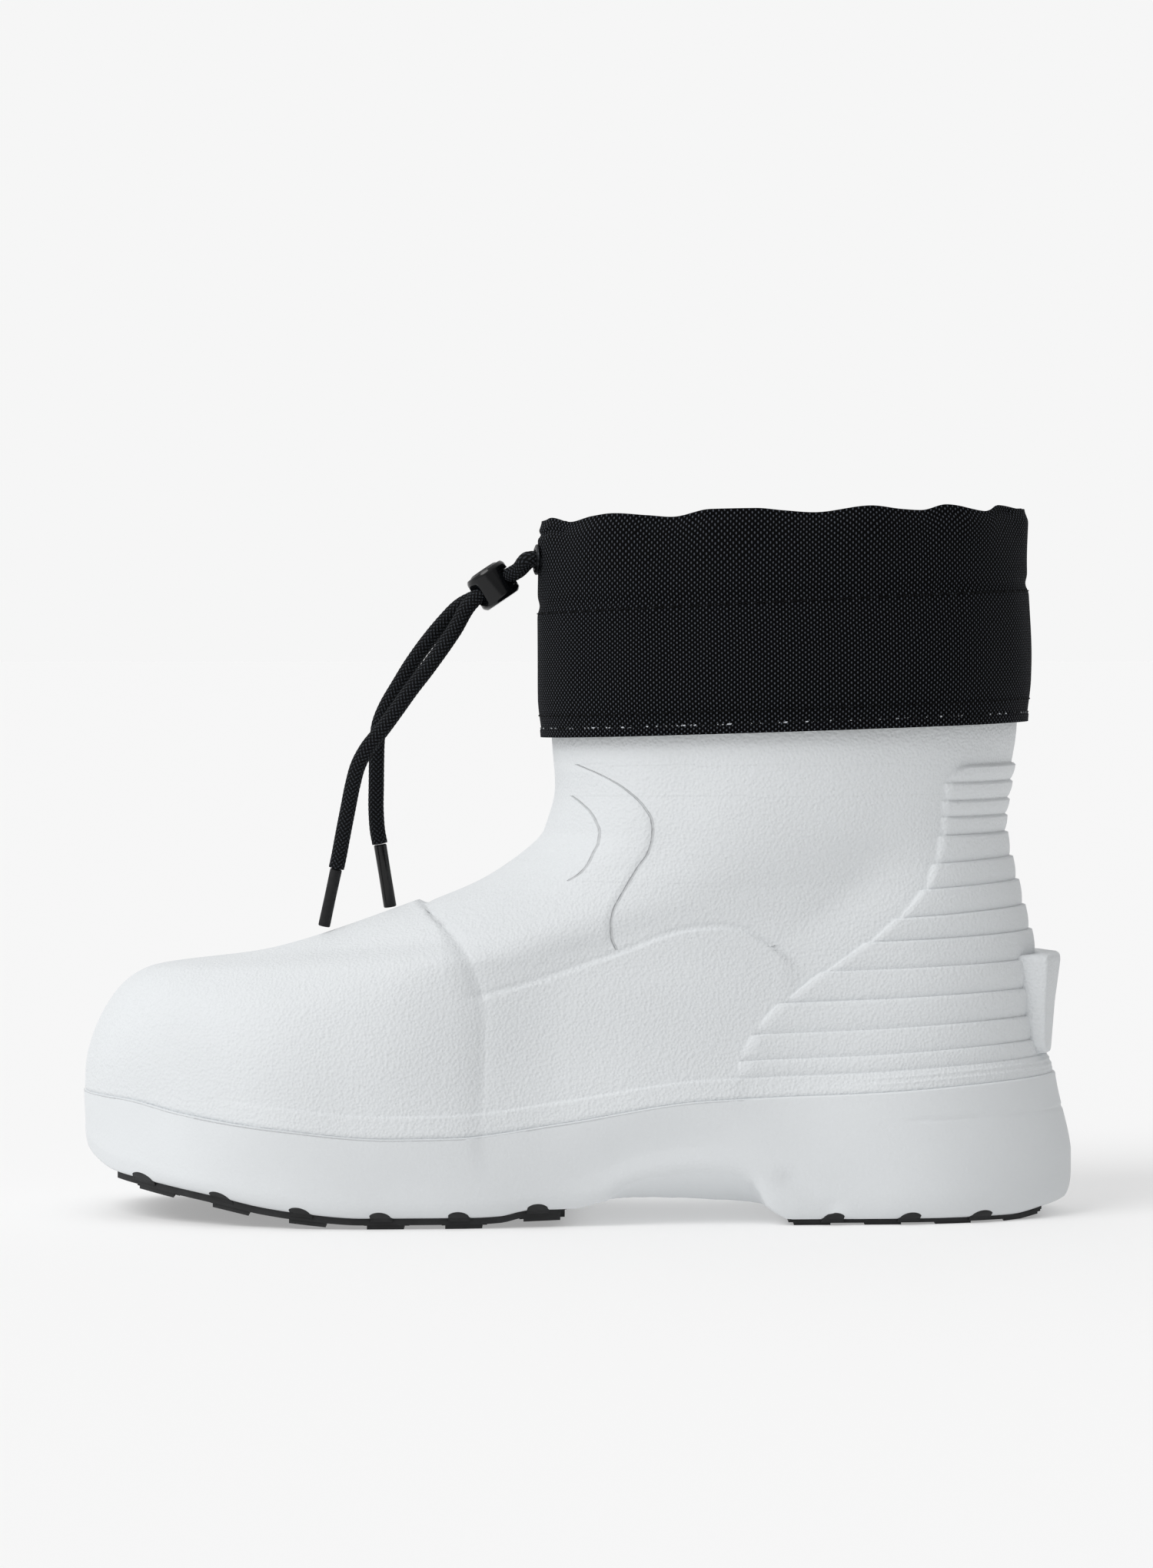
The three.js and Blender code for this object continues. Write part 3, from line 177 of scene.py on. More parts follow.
ring_heights = [row[0] * BOOT_HEIGHT for row in RINGS.values()]
ring_curves = {
    name: smooth_curve([(h, row[i] * RING_SCALES[i]) for h, row in zip(ring_heights, RINGS.values())])
    for i, name in enumerate(RING_COLUMNS)
}
LEDGE_HEIGHT = RINGS["ledge"][0] * BOOT_HEIGHT
CAP_EDGE_HEIGHT = RINGS["cap_edge"][0] * BOOT_HEIGHT
last_line = smooth_curve(LAST_LINE, 1, BALL_WIDTH)
dip_line = smooth_curve(DIP_LINE, 1, LEDGE_DIP)
rim_line = smooth_curve(RIM_LINE, 1, FOREFOOT_RIM_HEIGHT)
footbed_line = smooth_curve(FOOTBED_LINE, 1, BOOT_HEIGHT)
cap_edge_line = smooth_curve(CAP_EDGE, BOOT_HEIGHT, BOOT_LENGTH)
heel_panel_line = smooth_curve(HEEL_PANEL_EDGE, BOOT_HEIGHT, BOOT_LENGTH)
side_panel_line = smooth_curve(SIDE_PANEL_LINE, BOOT_LENGTH, BOOT_HEIGHT)
ankle_line = smooth_curve(ANKLE_LINE)
arc_line = smooth_curve(ARC_LINE)
scoop_roof = smooth_curve(SCOOP_ROOF, 1, SCOOP_HEIGHT)


def heel_share(x):
    return 0.5 - x / BOOT_LENGTH


def width_over_circle(length, heel_radius, half_widths, toe_radius, stations, s):
    """Half width at share s of rings, divided by the half circle that it rides on."""
    stations = np.array(stations, float)
    circle = 2 * np.sqrt(stations[1:-1] * (1 - stations[1:-1]))
    ends = np.sqrt(heel_radius * length / 2), np.sqrt(toe_radius * length / 2)
    inner = [w / c for w, c in zip(half_widths, circle)]
    values = np.stack([ends[0], *inner, ends[1]], axis=-1)
    slopes = smooth_slopes(stations, values)
    i = np.clip(np.searchsorted(stations, s, side="right") - 1, 0, len(stations) - 2)
    span = stations[i + 1] - stations[i]
    t = (s - stations[i]) / span

    def pick(table, j):
        return np.take_along_axis(table, j[..., None], axis=-1)[..., 0]

    return (pick(values, i) * (1 + 2 * t) * (1 - t) ** 2 + span * pick(slopes, i) * t * (1 - t) ** 2
            + pick(values, i + 1) * t * t * (3 - 2 * t) + span * pick(slopes, i + 1) * t * t * (t - 1))


def plain(height, angle):
    """Points of the plain upper; the angle runs from the heel over the outer side to the toe."""
    height, angle = np.broadcast_arrays(np.asarray(height, float), np.asarray(angle, float))
    ring = {name: curve(height) for name, curve in ring_curves.items()}
    s = (1 - np.cos(angle)) / 2
    x = mix(ring["heel_x"], ring["toe_x"], s)
    dip_fade = 1 - ease(LEDGE_HEIGHT, RINGS["toe_top"][0] * BOOT_HEIGHT * 1.08, height)
    z = mix(height, ring["toe_z"], s) - dip_line(s) * dip_fade
    bend = 1 - ease(RINGS["toe_top"][0] * BOOT_HEIGHT, RINGS["shaft_top"][0] * BOOT_HEIGHT, height)
    widths = [ring[name] for name in ("w10", "w30", "w50", "w70", "w85")]
    length = ring["heel_x"] - ring["toe_x"]
    half = width_over_circle(length, ring["heel_radius"], widths, ring["toe_radius"], WIDTH_STATIONS, s)
    y = last_line(heel_share(x)) * bend - np.sin(angle) * half
    return np.stack([x, y, z], axis=-1)


def outward(height, angle):
    across = plain(height, angle + 0.002) - plain(height, angle - 0.002)
    up = plain(height + 0.05, angle) - plain(height - 0.05, angle)
    normal = np.cross(up, across)
    return normal / np.linalg.norm(normal, axis=-1, keepdims=True)


def proud(height, angle, distance):
    return plain(height, angle) + outward(height, angle) * np.asarray(distance)[..., None]


def ledge_points(angle, distance, lift):
    point = plain(LEDGE_HEIGHT, angle)
    along = plain(LEDGE_HEIGHT, angle + 0.002) - plain(LEDGE_HEIGHT, angle - 0.002)
    along[..., 2] = 0
    along /= np.linalg.norm(along, axis=-1, keepdims=True)
    out = np.stack([-along[..., 1], along[..., 0], np.zeros_like(point[..., 0])], axis=-1)
    point = point + out * np.asarray(distance)[..., None]
    point[..., 2] += lift
    return point


def angle_of_line(height, line):
    """Angle on the outer side at which each ring crosses a line across the boot."""
    low = np.full(np.shape(height), 0.02)
    high = np.full(np.shape(height), math.pi - 0.02)
    for _ in range(30):
        middle = (low + high) / 2
        point = plain(height, middle)
        behind = point[..., 0] > line(point[..., 2])
        low, high = np.where(behind, middle, low), np.where(behind, high, middle)
    return (low + high) / 2


PLAN_STATIONS = [row[0] for row in SOLE_PLAN]
PLAN_WIDTHS = [row[1] * BALL_WIDTH for row in SOLE_PLAN]


def plan_width(s):
    s = np.asarray(s, float)
    full = [np.full(s.shape, w) for w in PLAN_WIDTHS]
    length = np.full(s.shape, float(BOOT_LENGTH))
    return width_over_circle(length, full[0], full[1:-1], full[-1], PLAN_STATIONS, s)


def plan_half(x, margin):
    s = np.clip(heel_share(x), 0, 1)
    return 2 * np.sqrt(s * (1 - s)) * plan_width(s) - margin


def plan_points(angle, inset):
    s = (1 - np.cos(angle)) / 2
    x = (0.5 - s) * (BOOT_LENGTH - 2 * np.asarray(inset))
    half = plan_width(s) * np.sin(angle) * (1 - np.asarray(inset) / BALL_WIDTH * 2)
    return np.stack([x, last_line(s) - half, np.zeros_like(x)], axis=-1)


_all_round = np.linspace(0, 2 * math.pi, 2001)
_plan_y = plan_points(_all_round, 0)[:, 1]
_toe_x = float(plain(LEDGE_HEIGHT, math.pi)[0]) - LEDGE_STEP
SHIFT = np.array([
    (_sole_low.x + _sole_high.x) / 2 / MM - (_toe_x + BOOT_LENGTH / 2) / 2,
    (_sole_low.y + _sole_high.y) / 2 / MM - (_plan_y.min() + _plan_y.max()) / 2,
    0,
])


def to_frame(points):
    """Points in the boot's own millimetres, as metres in the frame."""
    return (np.asarray(points, float) + SHIFT) * MM


# The photograph's view: square to the boot's outer side, a little above the ankle
PHOTO_HEIGHT = 2040
VIEW_DISTANCE = 1600
VIEW_HEIGHT = 167
FOCAL_PIXELS = 7101
HORIZON_ROW = 835
VIEW_ASIDE = -0.1
SENSOR = 36


def make_camera():
    lens = bpy.data.cameras.new("view")
    lens.sensor_width = SENSOR
    lens.lens = FOCAL_PIXELS / PHOTO_HEIGHT * SENSOR
    lens.clip_start, lens.clip_end = 0.05, 100
    camera = bpy.data.objects.new("view", lens)
    camera.location = to_frame((VIEW_ASIDE, -VIEW_DISTANCE, VIEW_HEIGHT))
    down = math.atan((PHOTO_HEIGHT / 2 - HORIZON_ROW) / FOCAL_PIXELS)
    camera.rotation_euler = (math.radians(90) - down, 0, 0)
    bpy.context.scene.collection.objects.link(camera)
    bpy.context.scene.camera = camera


make_camera()


def linear(hex_colour):
    """An sRGB hex colour as linear red, green, blue and alpha."""
    parts = [int(hex_colour[i:i + 2], 16) / 255 for i in (1, 3, 5)]
    return [c / 12.92 if c <= 0.04045 else ((c + 0.055) / 1.055) ** 2.4 for c in parts] + [1]


def node(tree, kind, settings=None, **links):
    """Adds a node with its settings, and sets or links its inputs by name or place."""
    made = tree.nodes.new(kind)
    for key, value in (settings or {}).items():
        setattr(made, key, value)
    for key, value in links.items():
        place = int(key[1:]) if key[0] == "i" and key[1:].isdigit() else key.replace("_", " ")
        socket = made.inputs[place]
        if isinstance(value, bpy.types.NodeSocket):
            tree.links.new(value, socket)
        else:
            socket.default_value = value
    return made


def material(name, colour, roughness, **shader):
    made = bpy.data.materials.new(name)
    made.use_nodes = True
    tree = made.node_tree
    surface = tree.nodes["Principled BSDF"]
    surface.inputs["Base Color"].default_value = linear(colour)
    surface.inputs["Roughness"].default_value = roughness
    for key, value in shader.items():
        surface.inputs[key.replace("_", " ")].default_value = value
    made.diffuse_color = linear(colour)
    return made, tree, surface


def ramp(tree, factor, stops):
    made = node(tree, "ShaderNodeValToRGB", i0=factor)
    elements = made.color_ramp.elements
    while len(elements) < len(stops):
        elements.new(0.5)
    for element, (place, colour) in zip(elements, stops):
        element.position = place
        element.color = colour
    return made.outputs[0]


def grey(value):
    return (value, value, value, 1)


def maths(tree, operation, first, second=0.0, third=0.0):
    made = node(tree, "ShaderNodeMath", {"operation": operation}, i0=first, i1=second, i2=third)
    return made.outputs[0]


def object_place(tree, scale=1.0):
    """Object coordinates, in millimetres divided by scale."""
    place = node(tree, "ShaderNodeTexCoord").outputs["Object"]
    larger = node(tree, "ShaderNodeVectorMath", {"operation": "SCALE"}, i0=place, Scale=1 / MM / scale)
    return larger.outputs[0]


def noise(tree, size, detail):
    """Cloudy noise whose blotches are about a size across, in millimetres."""
    place = object_place(tree, size)
    return node(tree, "ShaderNodeTexNoise", Vector=place, Scale=1.0, Detail=detail).outputs[0]


def bump(tree, height, depth_mm, strength=1.0, under=None):
    links = {"Height": height, "Distance": depth_mm * MM, "Strength": strength}
    if under is not None:
        links["Normal"] = under
    return node(tree, "ShaderNodeBump", **links).outputs[0]


def moulded_lines(tree):
    """1 on the fine lines of the mould: the UV map holds the distance to each, in millimetres."""
    uv = node(tree, "ShaderNodeSeparateXYZ", i0=node(tree, "ShaderNodeUVMap").outputs[0])
    lines = []
    for distance in uv.outputs[:2]:
        lines.append(node(tree, "ShaderNodeMapRange", {"interpolation_type": "SMOOTHSTEP"},
                          i0=maths(tree, "ABSOLUTE", distance), i1=LINE_HALF_WIDTH * 0.3,
                          i2=LINE_HALF_WIDTH * 1.7, i3=1.0, i4=0.0).outputs[0])
    return maths(tree, "MAXIMUM", *lines)


def moulded_foam(name, colour, grain_depth, lined=False):
    """White EVA foam, compression moulded: matte skin with the mould's fine pebble grain; when lined,
    the fine lines are sunk by bump and darkened with painted shade.
    """
    made, tree, surface = material(name, colour, 0.58, IOR=1.45, Specular_IOR_Level=0.35)
    pebble = node(tree, "ShaderNodeTexVoronoi", {"feature": "SMOOTH_F1"},
                  Vector=object_place(tree, 0.88), Scale=1.0, Smoothness=0.45, Randomness=1.0).outputs[0]
    fine = noise(tree, 0.6, 3.0)
    waves = noise(tree, 26, 2.0)
    coarse = bump(tree, waves, 0.25, 0.35)
    skin_normal = bump(tree, pebble, grain_depth, 0.8, coarse)
    normal = bump(tree, fine, grain_depth * 0.5, 0.6, skin_normal)
    tree.links.new(normal, surface.inputs["Normal"])
    tint = noise(tree, 60, 3.0)
    base = linear(colour)
    dull = [c * 0.96 for c in base[:3]] + [1]
    skin = ramp(tree, tint, [(0.35, dull), (0.65, base)])
    if lined:
        # Painted shade: the foam's colour is darkened along the moulded lines, where their grooves would
        # fall in shadow.
        line = moulded_lines(tree)
        dark = [c * LINE_PAINTED_SHADE for c in base[:3]] + [1]
        skin = node(tree, "ShaderNodeMix", {"data_type": "RGBA"}, i0=line, i6=skin, i7=dark).outputs[2]
        sunk = maths(tree, "SUBTRACT", 1.0, line)
        tree.links.new(bump(tree, sunk, LINE_DEPTH, 1.0, normal), surface.inputs["Normal"])
    tree.links.new(skin, surface.inputs["Base Color"])
    rough = node(tree, "ShaderNodeMapRange", i0=fine, i1=0.3, i2=0.7, i3=0.5, i4=0.68).outputs[0]
    tree.links.new(rough, surface.inputs["Roughness"])
    return made


def moulded_rubber(name, colour):
    """Black carbon-filled rubber, press moulded: dull, with a faint greyish bloom."""
    made, tree, surface = material(name, colour, 0.62, IOR=1.52, Specular_IOR_Level=0.4)
    bloom = noise(tree, 6, 4.0)
    base = linear(colour)
    dusty = [c * 1.9 for c in base[:3]] + [1]
    tree.links.new(ramp(tree, bloom, [(0.4, base), (0.75, dusty)]), surface.inputs["Base Color"])
    fine = noise(tree, 0.4, 2.0)
    tree.links.new(bump(tree, fine, 0.04, 0.6), surface.inputs["Normal"])
    return made


def over_under(tree, warp, weft, floats):
    """Threads a unit apart, each over as many crossings as it has floats and under as many.

    Gives the height of the cloth and 1 where the warp is on top.
    """
    crossing = maths(tree, "ADD", maths(tree, "FLOOR", warp), maths(tree, "FLOOR", weft))
    turn = maths(tree, "FLOORED_MODULO", crossing, 2.0 * floats)
    over = maths(tree, "LESS_THAN", turn, floats - 0.5)
    crown_u = maths(tree, "SINE", maths(tree, "MULTIPLY", maths(tree, "FRACT", warp), math.pi))
    crown_v = maths(tree, "SINE", maths(tree, "MULTIPLY", maths(tree, "FRACT", weft), math.pi))
    warp_top = maths(tree, "MULTIPLY", crown_u, maths(tree, "MULTIPLY_ADD", crown_v, 0.4, 0.6))
    weft_top = maths(tree, "MULTIPLY", crown_v, maths(tree, "MULTIPLY_ADD", crown_u, 0.4, 0.6))
    pick = node(tree, "ShaderNodeMix", {"data_type": "FLOAT"}, i0=over, i2=weft_top, i3=warp_top)
    return pick.outputs[0], over


def canvas(name, colour, painted_highlight_colour):
    """Black polyester canvas, plain woven: thick threads whose tops are given painted grey highlights,
    stronger on the warp.
    """
    made, tree, surface = material(name, colour, 0.9, IOR=1.5, Specular_IOR_Level=0.07)
    uv = node(tree, "ShaderNodeSeparateXYZ", i0=node(tree, "ShaderNodeUVMap").outputs[0])
    jitter = noise(tree, 5, 2.0)
    slack = maths(tree, "MULTIPLY", maths(tree, "SUBTRACT", jitter, 0.5), 0.9)
    warp = maths(tree, "ADD", maths(tree, "MULTIPLY", uv.outputs[0], 1 / WARP_PITCH), slack)
    weft = maths(tree, "ADD", maths(tree, "MULTIPLY", uv.outputs[1], 1 / WEFT_PITCH), slack)
    height, over = over_under(tree, warp, weft, 1)
    # Painted highlight: each thread's crown is lightened towards the highlight colour, where light would
    # catch it.
    shade = maths(tree, "MULTIPLY", height, maths(tree, "MULTIPLY_ADD", over, 0.45, 0.55))
    colours = ramp(tree, shade, [(0.55, linear(colour)), (0.98, linear(painted_highlight_colour))])
    tree.links.new(colours, surface.inputs["Base Color"])
    tree.links.new(bump(tree, height, 0.16, 0.9), surface.inputs["Normal"])
    return made


def braided_cord(name, colour, painted_highlight_colour):
    """Black polyester round braid: two families of strands around a core, their crowns lightened as
    painted highlights.
    """
    made, tree, surface = material(name, colour, 0.7, IOR=1.5, Specular_IOR_Level=0.12)
    uv = node(tree, "ShaderNodeSeparateXYZ", i0=node(tree, "ShaderNodeUVMap").outputs[0])
    left = maths(tree, "ADD", uv.outputs[0], uv.outputs[1])
    right = maths(tree, "SUBTRACT", uv.outputs[0], uv.outputs[1])
    height, _ = over_under(tree, left, right, 2)
    fibre = noise(tree, 0.25, 2.0)
    # Painted highlight: each strand's crown is lightened towards the highlight colour, a little unevenly
    # along the fibres.
    shade = maths(tree, "MULTIPLY", height, maths(tree, "MULTIPLY_ADD", fibre, 0.5, 0.6))
    colours = ramp(tree, shade, [(0.5, linear(colour)), (0.95, linear(painted_highlight_colour))])
    tree.links.new(colours, surface.inputs["Base Color"])
    tree.links.new(bump(tree, height, 0.16, 0.8), surface.inputs["Normal"])
    return made


def moulded_plastic(name, colour, roughness):
    """Black ABS, injection moulded: smooth and glossy, with faint flow marks."""
    made, tree, surface = material(name, colour, roughness, IOR=1.5, Specular_IOR_Level=0.35)
    flow = noise(tree, 1.5, 3.0)
    tree.links.new(bump(tree, flow, 0.03, 0.5), surface.inputs["Normal"])
    rough = node(tree, "ShaderNodeMapRange", i0=flow, i1=0.3, i2=0.7,
                 i3=roughness * 0.8, i4=roughness * 1.3).outputs[0]
    tree.links.new(rough, surface.inputs["Roughness"])
    return made


def oxidised_metal(name, colour, rubbed_colour):
    """Black-oxidised brass eyelet: half-gloss metal, paler where it is rubbed."""
    made, tree, surface = material(name, colour, 0.38, Metallic=1.0)
    rub = noise(tree, 2, 3.0)
    colours = ramp(tree, rub, [(0.4, linear(colour)), (0.8, linear(rubbed_colour))])
    tree.links.new(colours, surface.inputs["Base Color"])
    return made


def stitching(name, colour, painted_glint_colour):
    """Black polyester sewing thread, with pale flecks on some stitches painted in as highlights."""
    made, tree, surface = material(name, colour, 0.8, IOR=1.5, Specular_IOR_Level=0.12)
    glint_spots = noise(tree, 1.4, 2.0)
    # Painted highlight: noise picks out pale glints on some stitches.
    colours = ramp(tree, glint_spots, [(0.57, linear(colour)), (0.63, linear(painted_glint_colour))])
    tree.links.new(colours, surface.inputs["Base Color"])
    return made


def felt(name, colour):
    """Grey needle felt on the insole: matte, cloudy, fibrous."""
    made, tree, surface = material(name, colour, 0.95, Sheen_Weight=0.3, Sheen_Roughness=0.5)
    fibre = noise(tree, 0.5, 5.0)
    base = linear(colour)
    pale = [c * 1.5 for c in base[:3]] + [1]
    tree.links.new(ramp(tree, fibre, [(0.35, base), (0.7, pale)]), surface.inputs["Base Color"])
    tree.links.new(bump(tree, fibre, 0.2, 0.7), surface.inputs["Normal"])
    return made


WARP_PITCH = 0.88
WEFT_PITCH = 0.72
# Width and depth of the moulded lines, and how far their painted shade darkens the foam's colour.
LINE_HALF_WIDTH, LINE_DEPTH, LINE_PAINTED_SHADE = 0.32, 0.3, 0.75
FOAM = moulded_foam("eva_foam_white", "#e0e3e5", 0.26)
LINED_FOAM = moulded_foam("eva_foam_white_lined", "#e0e3e5", 0.26, lined=True)
SOLE_FOAM = moulded_foam("eva_foam_sole", "#e0e3e5", 0.06)
RUBBER = moulded_rubber("rubber_black", "#1a1b1c")
CANVAS = canvas("canvas_black", "#030304", "#50545b")
BRAID = braided_cord("polyester_braid", "#040405", "#3c4046")
PLASTIC = moulded_plastic("abs_black", "#08090b", 0.15)
SLEEVE_DULL = moulded_plastic("shrink_sleeve_dull", "#0c0d0f", 0.55)
SLEEVE_GLOSSY = moulded_plastic("shrink_sleeve_glossy", "#08090b", 0.13)
# The pale second colour is painted highlight on the stitches; the dark thread has almost none.
THREAD = stitching("polyester_thread", "#0b0c0e", "#c2c6cb")
DARK_THREAD = stitching("polyester_thread_dark", "#050506", "#101113")
EYELET = oxidised_metal("oxidised_brass", "#191a1c", "#4a4d51")
FELT = felt("needle_felt", "#5f6469")


def face_outwards(mesh):
    solid = bmesh.new()
    solid.from_mesh(mesh)
    bmesh.ops.recalc_face_normals(solid, faces=solid.faces)
    solid.to_mesh(mesh)
    solid.free()


def new_piece(name, points, faces, finish, replaced=(), uv=None, smooth=True):
    """A mesh from points in the boot's own millimetres."""
    mesh = bpy.data.meshes.new(name)
    mesh.from_pydata(to_frame(points), [], faces)
    if uv is not None:
        layer = mesh.uv_layers.new(name="uv")
        loops = np.zeros(len(mesh.loops), np.int32)
        mesh.loops.foreach_get("vertex_index", loops)
        layer.data.foreach_set("uv", np.asarray(uv, float)[loops].ravel())
    face_outwards(mesh)
    mesh.materials.append(finish)
    for polygon in mesh.polygons:
        polygon.use_smooth = smooth
    piece = bpy.data.objects.new(name, mesh)
    bpy.context.scene.collection.objects.link(piece)
    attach(piece, "root")
    if replaced:
        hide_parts(*replaced)
    return piece


def grid_faces(rows, columns, close_rows):
    """Quads between rings of points; close_rows joins the last ring to the first."""
    r = np.arange(rows if close_rows else rows - 1)[:, None]
    c = np.arange(columns)[None, :]
    low, high = r * columns, ((r + 1) % rows) * columns
    d = (c + 1) % columns
    return np.stack([low + c, low + d, high + d, high + c], axis=-1).reshape(-1, 4).tolist()


def strip_faces(ring_start, columns):
    """Faces across a ring, from the outer side to the inner side."""
    faces = []
    for c in range(columns // 2):
        a, b, d, e = c, c + 1, columns - 1 - c, (columns - c) % columns
        corners = [ring_start + k for k in dict.fromkeys((a, b, d, e))]
        if len(corners) > 2:
            faces.append(corners)
    return faces


def capped_faces(rows, columns):
    """Quads between open rings of points, with the first and the last ring filled."""
    ends = strip_faces(0, columns) + strip_faces((rows - 1) * columns, columns)
    return grid_faces(rows, columns, False) + ends


# Strands of the drawcord, from the point midway between the eyelets: from the mouth of the
# eyelet, through the lock, to the aglet
STRAND_LEFT = (
    (-6.4, -5, -2.9), (-9.8, -2.7, -4.9), (-13.8, -2.7, -7.5), (-18, -2.7, -10.3),
    (-21.3, -2.9, -13.8), (-25.3, -3.5, -20.7), (-32.8, -4.8, -31.4), (-37.8, -5.4, -37.9),
    (-42.3, -5.8, -44.2), (-46.5, -6, -49.9), (-50.5, -6, -54.9), (-53.2, -5.8, -59.9),
    (-54.8, -5.5, -65.5), (-56.3, -5.1, -72.9), (-57.7, -4.7, -80), (-59, -4.3, -86.9),
    (-59.7, -4, -90.1),
)
STRAND_RIGHT = (
    (-6.4, 5, -2.9), (-9.8, 2.7, -4.9), (-13.8, 2.7, -7.5), (-18, 2.7, -10.3),
    (-23.7, 3, -13.4), (-28.4, 3.5, -18.1), (-33.3, 4.1, -24), (-37.9, 4.6, -30.4),
    (-41.9, 5, -36.9), (-45.4, 5.3, -42.9), (-47.4, 5.6, -47.9), (-48.1, 5.9, -52.9),
    (-48.3, 6.1, -58.9), (-48.4, 6.4, -65.9), (-48.5, 6.7, -72.9), (-48.1, 7.1, -79.4),
    (-47.4, 7.4, -83.3),
)
AGLET_LEFT_TIP = (-63.4, -3.4, -107.2)
AGLET_RIGHT_TIP = (-44.4, 8.4, -102.1)
AGLET_LEFT_DIAMETER, AGLET_RIGHT_DIAMETER = 3.5, 3.8
AGLET_WAIST = 0.97
# Radius at which turned pieces close on their axis
AXIS = 0.05
CORD_ROOT, CORD_MOUTH = 1.4, 3.4
BRAID_STRANDS = 10
BRAID_PITCH = 1.4
BRAID_RELIEF = 0.22
GATHER_COUNT, GATHER_DEPTH = 11, 0.9
GATHER_START = 4
SEAM_DEPTH, SEAM_NOTCH, SEAM_NOTCH_WIDTH = 0.9, 0.6, 1.3
SEAM_FULLNESS = 0.2
HEM_PINCH, HEM_PINCH_HEIGHT = 0.7, 12
HEM_BAND, HEM_BAND_HEIGHT = 0.4, 2.2
RIM_ROUND, RIM_ROUND_HEIGHT = 1.1, 4
CUFF_LOOSENESS = 0.5


def plain_cuff(height, angle):
    """How far the cuff stands off the shaft, without its hem, fullness and folds."""
    seam = SEAM_DEPTH * np.exp(-(((height - SEAM_HEIGHT) / 1.6) ** 2))
    gathered = ease(SEAM_HEIGHT + GATHER_START, BOOT_HEIGHT, height)
    gather = gathered * GATHER_DEPTH * np.sin(GATHER_COUNT * angle)
    hem_pinch = HEM_PINCH * (1 - ease(HEM_HEIGHT, HEM_HEIGHT + HEM_PINCH_HEIGHT, height))
    rim_round = RIM_ROUND * ease(BOOT_HEIGHT - RIM_ROUND_HEIGHT, BOOT_HEIGHT, height)
    return SEAT_GAP + CUFF_WALL + CUFF_LOOSENESS - seam + gather - hem_pinch - rim_round


def eyelet_seat(side):
    """Where an eyelet sits on the cuff, and the way out of it."""
    low, high = math.pi / 2, math.pi
    for _ in range(30):
        middle = (low + high) / 2
        beside = abs(float(proud(EYELET_HEIGHT, middle, CUFF_WALL)[1])) > EYELET_SPACING / 2
        low, high = (middle, high) if beside else (low, middle)
    angle = low if side < 0 else 2 * math.pi - low
    height = 2 * EYELET_HEIGHT - float(plain(EYELET_HEIGHT, angle)[2])
    return proud(height, angle, plain_cuff(height, angle)), outward(height, angle)


def centripetal(points, count):
    """Even steps along a smooth curve through the points."""
    p = np.asarray(points, float)
    p = np.vstack([2 * p[0] - p[1], p, 2 * p[-1] - p[-2]])
    dense = []
    for i in range(1, len(p) - 2):
        t = [0.0]
        for j in range(3):
            t.append(t[-1] + math.sqrt(np.linalg.norm(p[i + j] - p[i + j - 1])))
        u = np.linspace(t[1], t[2], 24, endpoint=False)[:, None]
        a = [((t[j + 1] - u) * p[i - 1 + j] + (u - t[j]) * p[i + j]) / (t[j + 1] - t[j])
             for j in range(3)]
        b = [((t[j + 2] - u) * a[j] + (u - t[j]) * a[j + 1]) / (t[j + 2] - t[j]) for j in range(2)]
        dense.append(((t[2] - u) * b[0] + (u - t[1]) * b[1]) / (t[2] - t[1]))
    dense = np.vstack(dense + [p[-2][None]])
    run = np.concatenate([[0], np.cumsum(np.linalg.norm(np.diff(dense, axis=0), axis=1))])
    even = np.linspace(0, run[-1], count)
    return np.stack([np.interp(even, run, dense[:, k]) for k in range(3)], axis=1), run[-1]


def moving_frame(path):
    """Directions across a path, carried along it without twist."""
    tangent = np.gradient(path, axis=0)
    tangent /= np.linalg.norm(tangent, axis=1, keepdims=True)
    side = np.cross(tangent[0], (0, 1, 0))
    sides = []
    for way in tangent:
        side = side - way * np.dot(side, way)
        side = side / np.linalg.norm(side)
        sides.append(side)
    sides = np.array(sides)
    return sides, np.cross(tangent, sides)


CORD_AROUND = 84
CORD_STEP = 0.24


def braid_height(left, right):
    """Crown of a braid whose strands pass over two and under two: 1 on a strand, 0 between."""
    over = (np.floor(left) + np.floor(right)) % 4 < 2
    return np.where(over, np.sin(math.pi * (left % 1)), np.sin(math.pi * (right % 1)))


def make_strand(name, node_name, seat, points):
    point, way = seat
    route = [point - way * CORD_ROOT, point + way * CORD_MOUTH, *points]
    _, length = centripetal(route, 10)
    count = int(length / CORD_STEP)
    path, length = centripetal(route, count)
    side, up = moving_frame(path)
    turn = np.linspace(0, 2 * math.pi, CORD_AROUND, endpoint=False)
    along = np.linspace(0, length, count)
    family = BRAID_STRANDS / 2 * turn[None, :] / math.pi
    travel = along[:, None] / BRAID_PITCH
    crown = np.sqrt(braid_height(family + travel, family - travel))
    radius = CORD_DIAMETER / 2 - BRAID_RELIEF * (1 - crown)
    around = side[:, None] * np.cos(turn)[None, :, None] + up[:, None] * np.sin(turn)[None, :, None]
    rings = path[:, None] + around * radius[..., None]
    faces = capped_faces(count, CORD_AROUND)
    uv = np.stack(np.broadcast_arrays(family, travel), axis=-1).reshape(-1, 2)
    strand = new_piece(name, rings.reshape(-1, 3), faces, BRAID, [node_name], uv)
    return strand, path, length


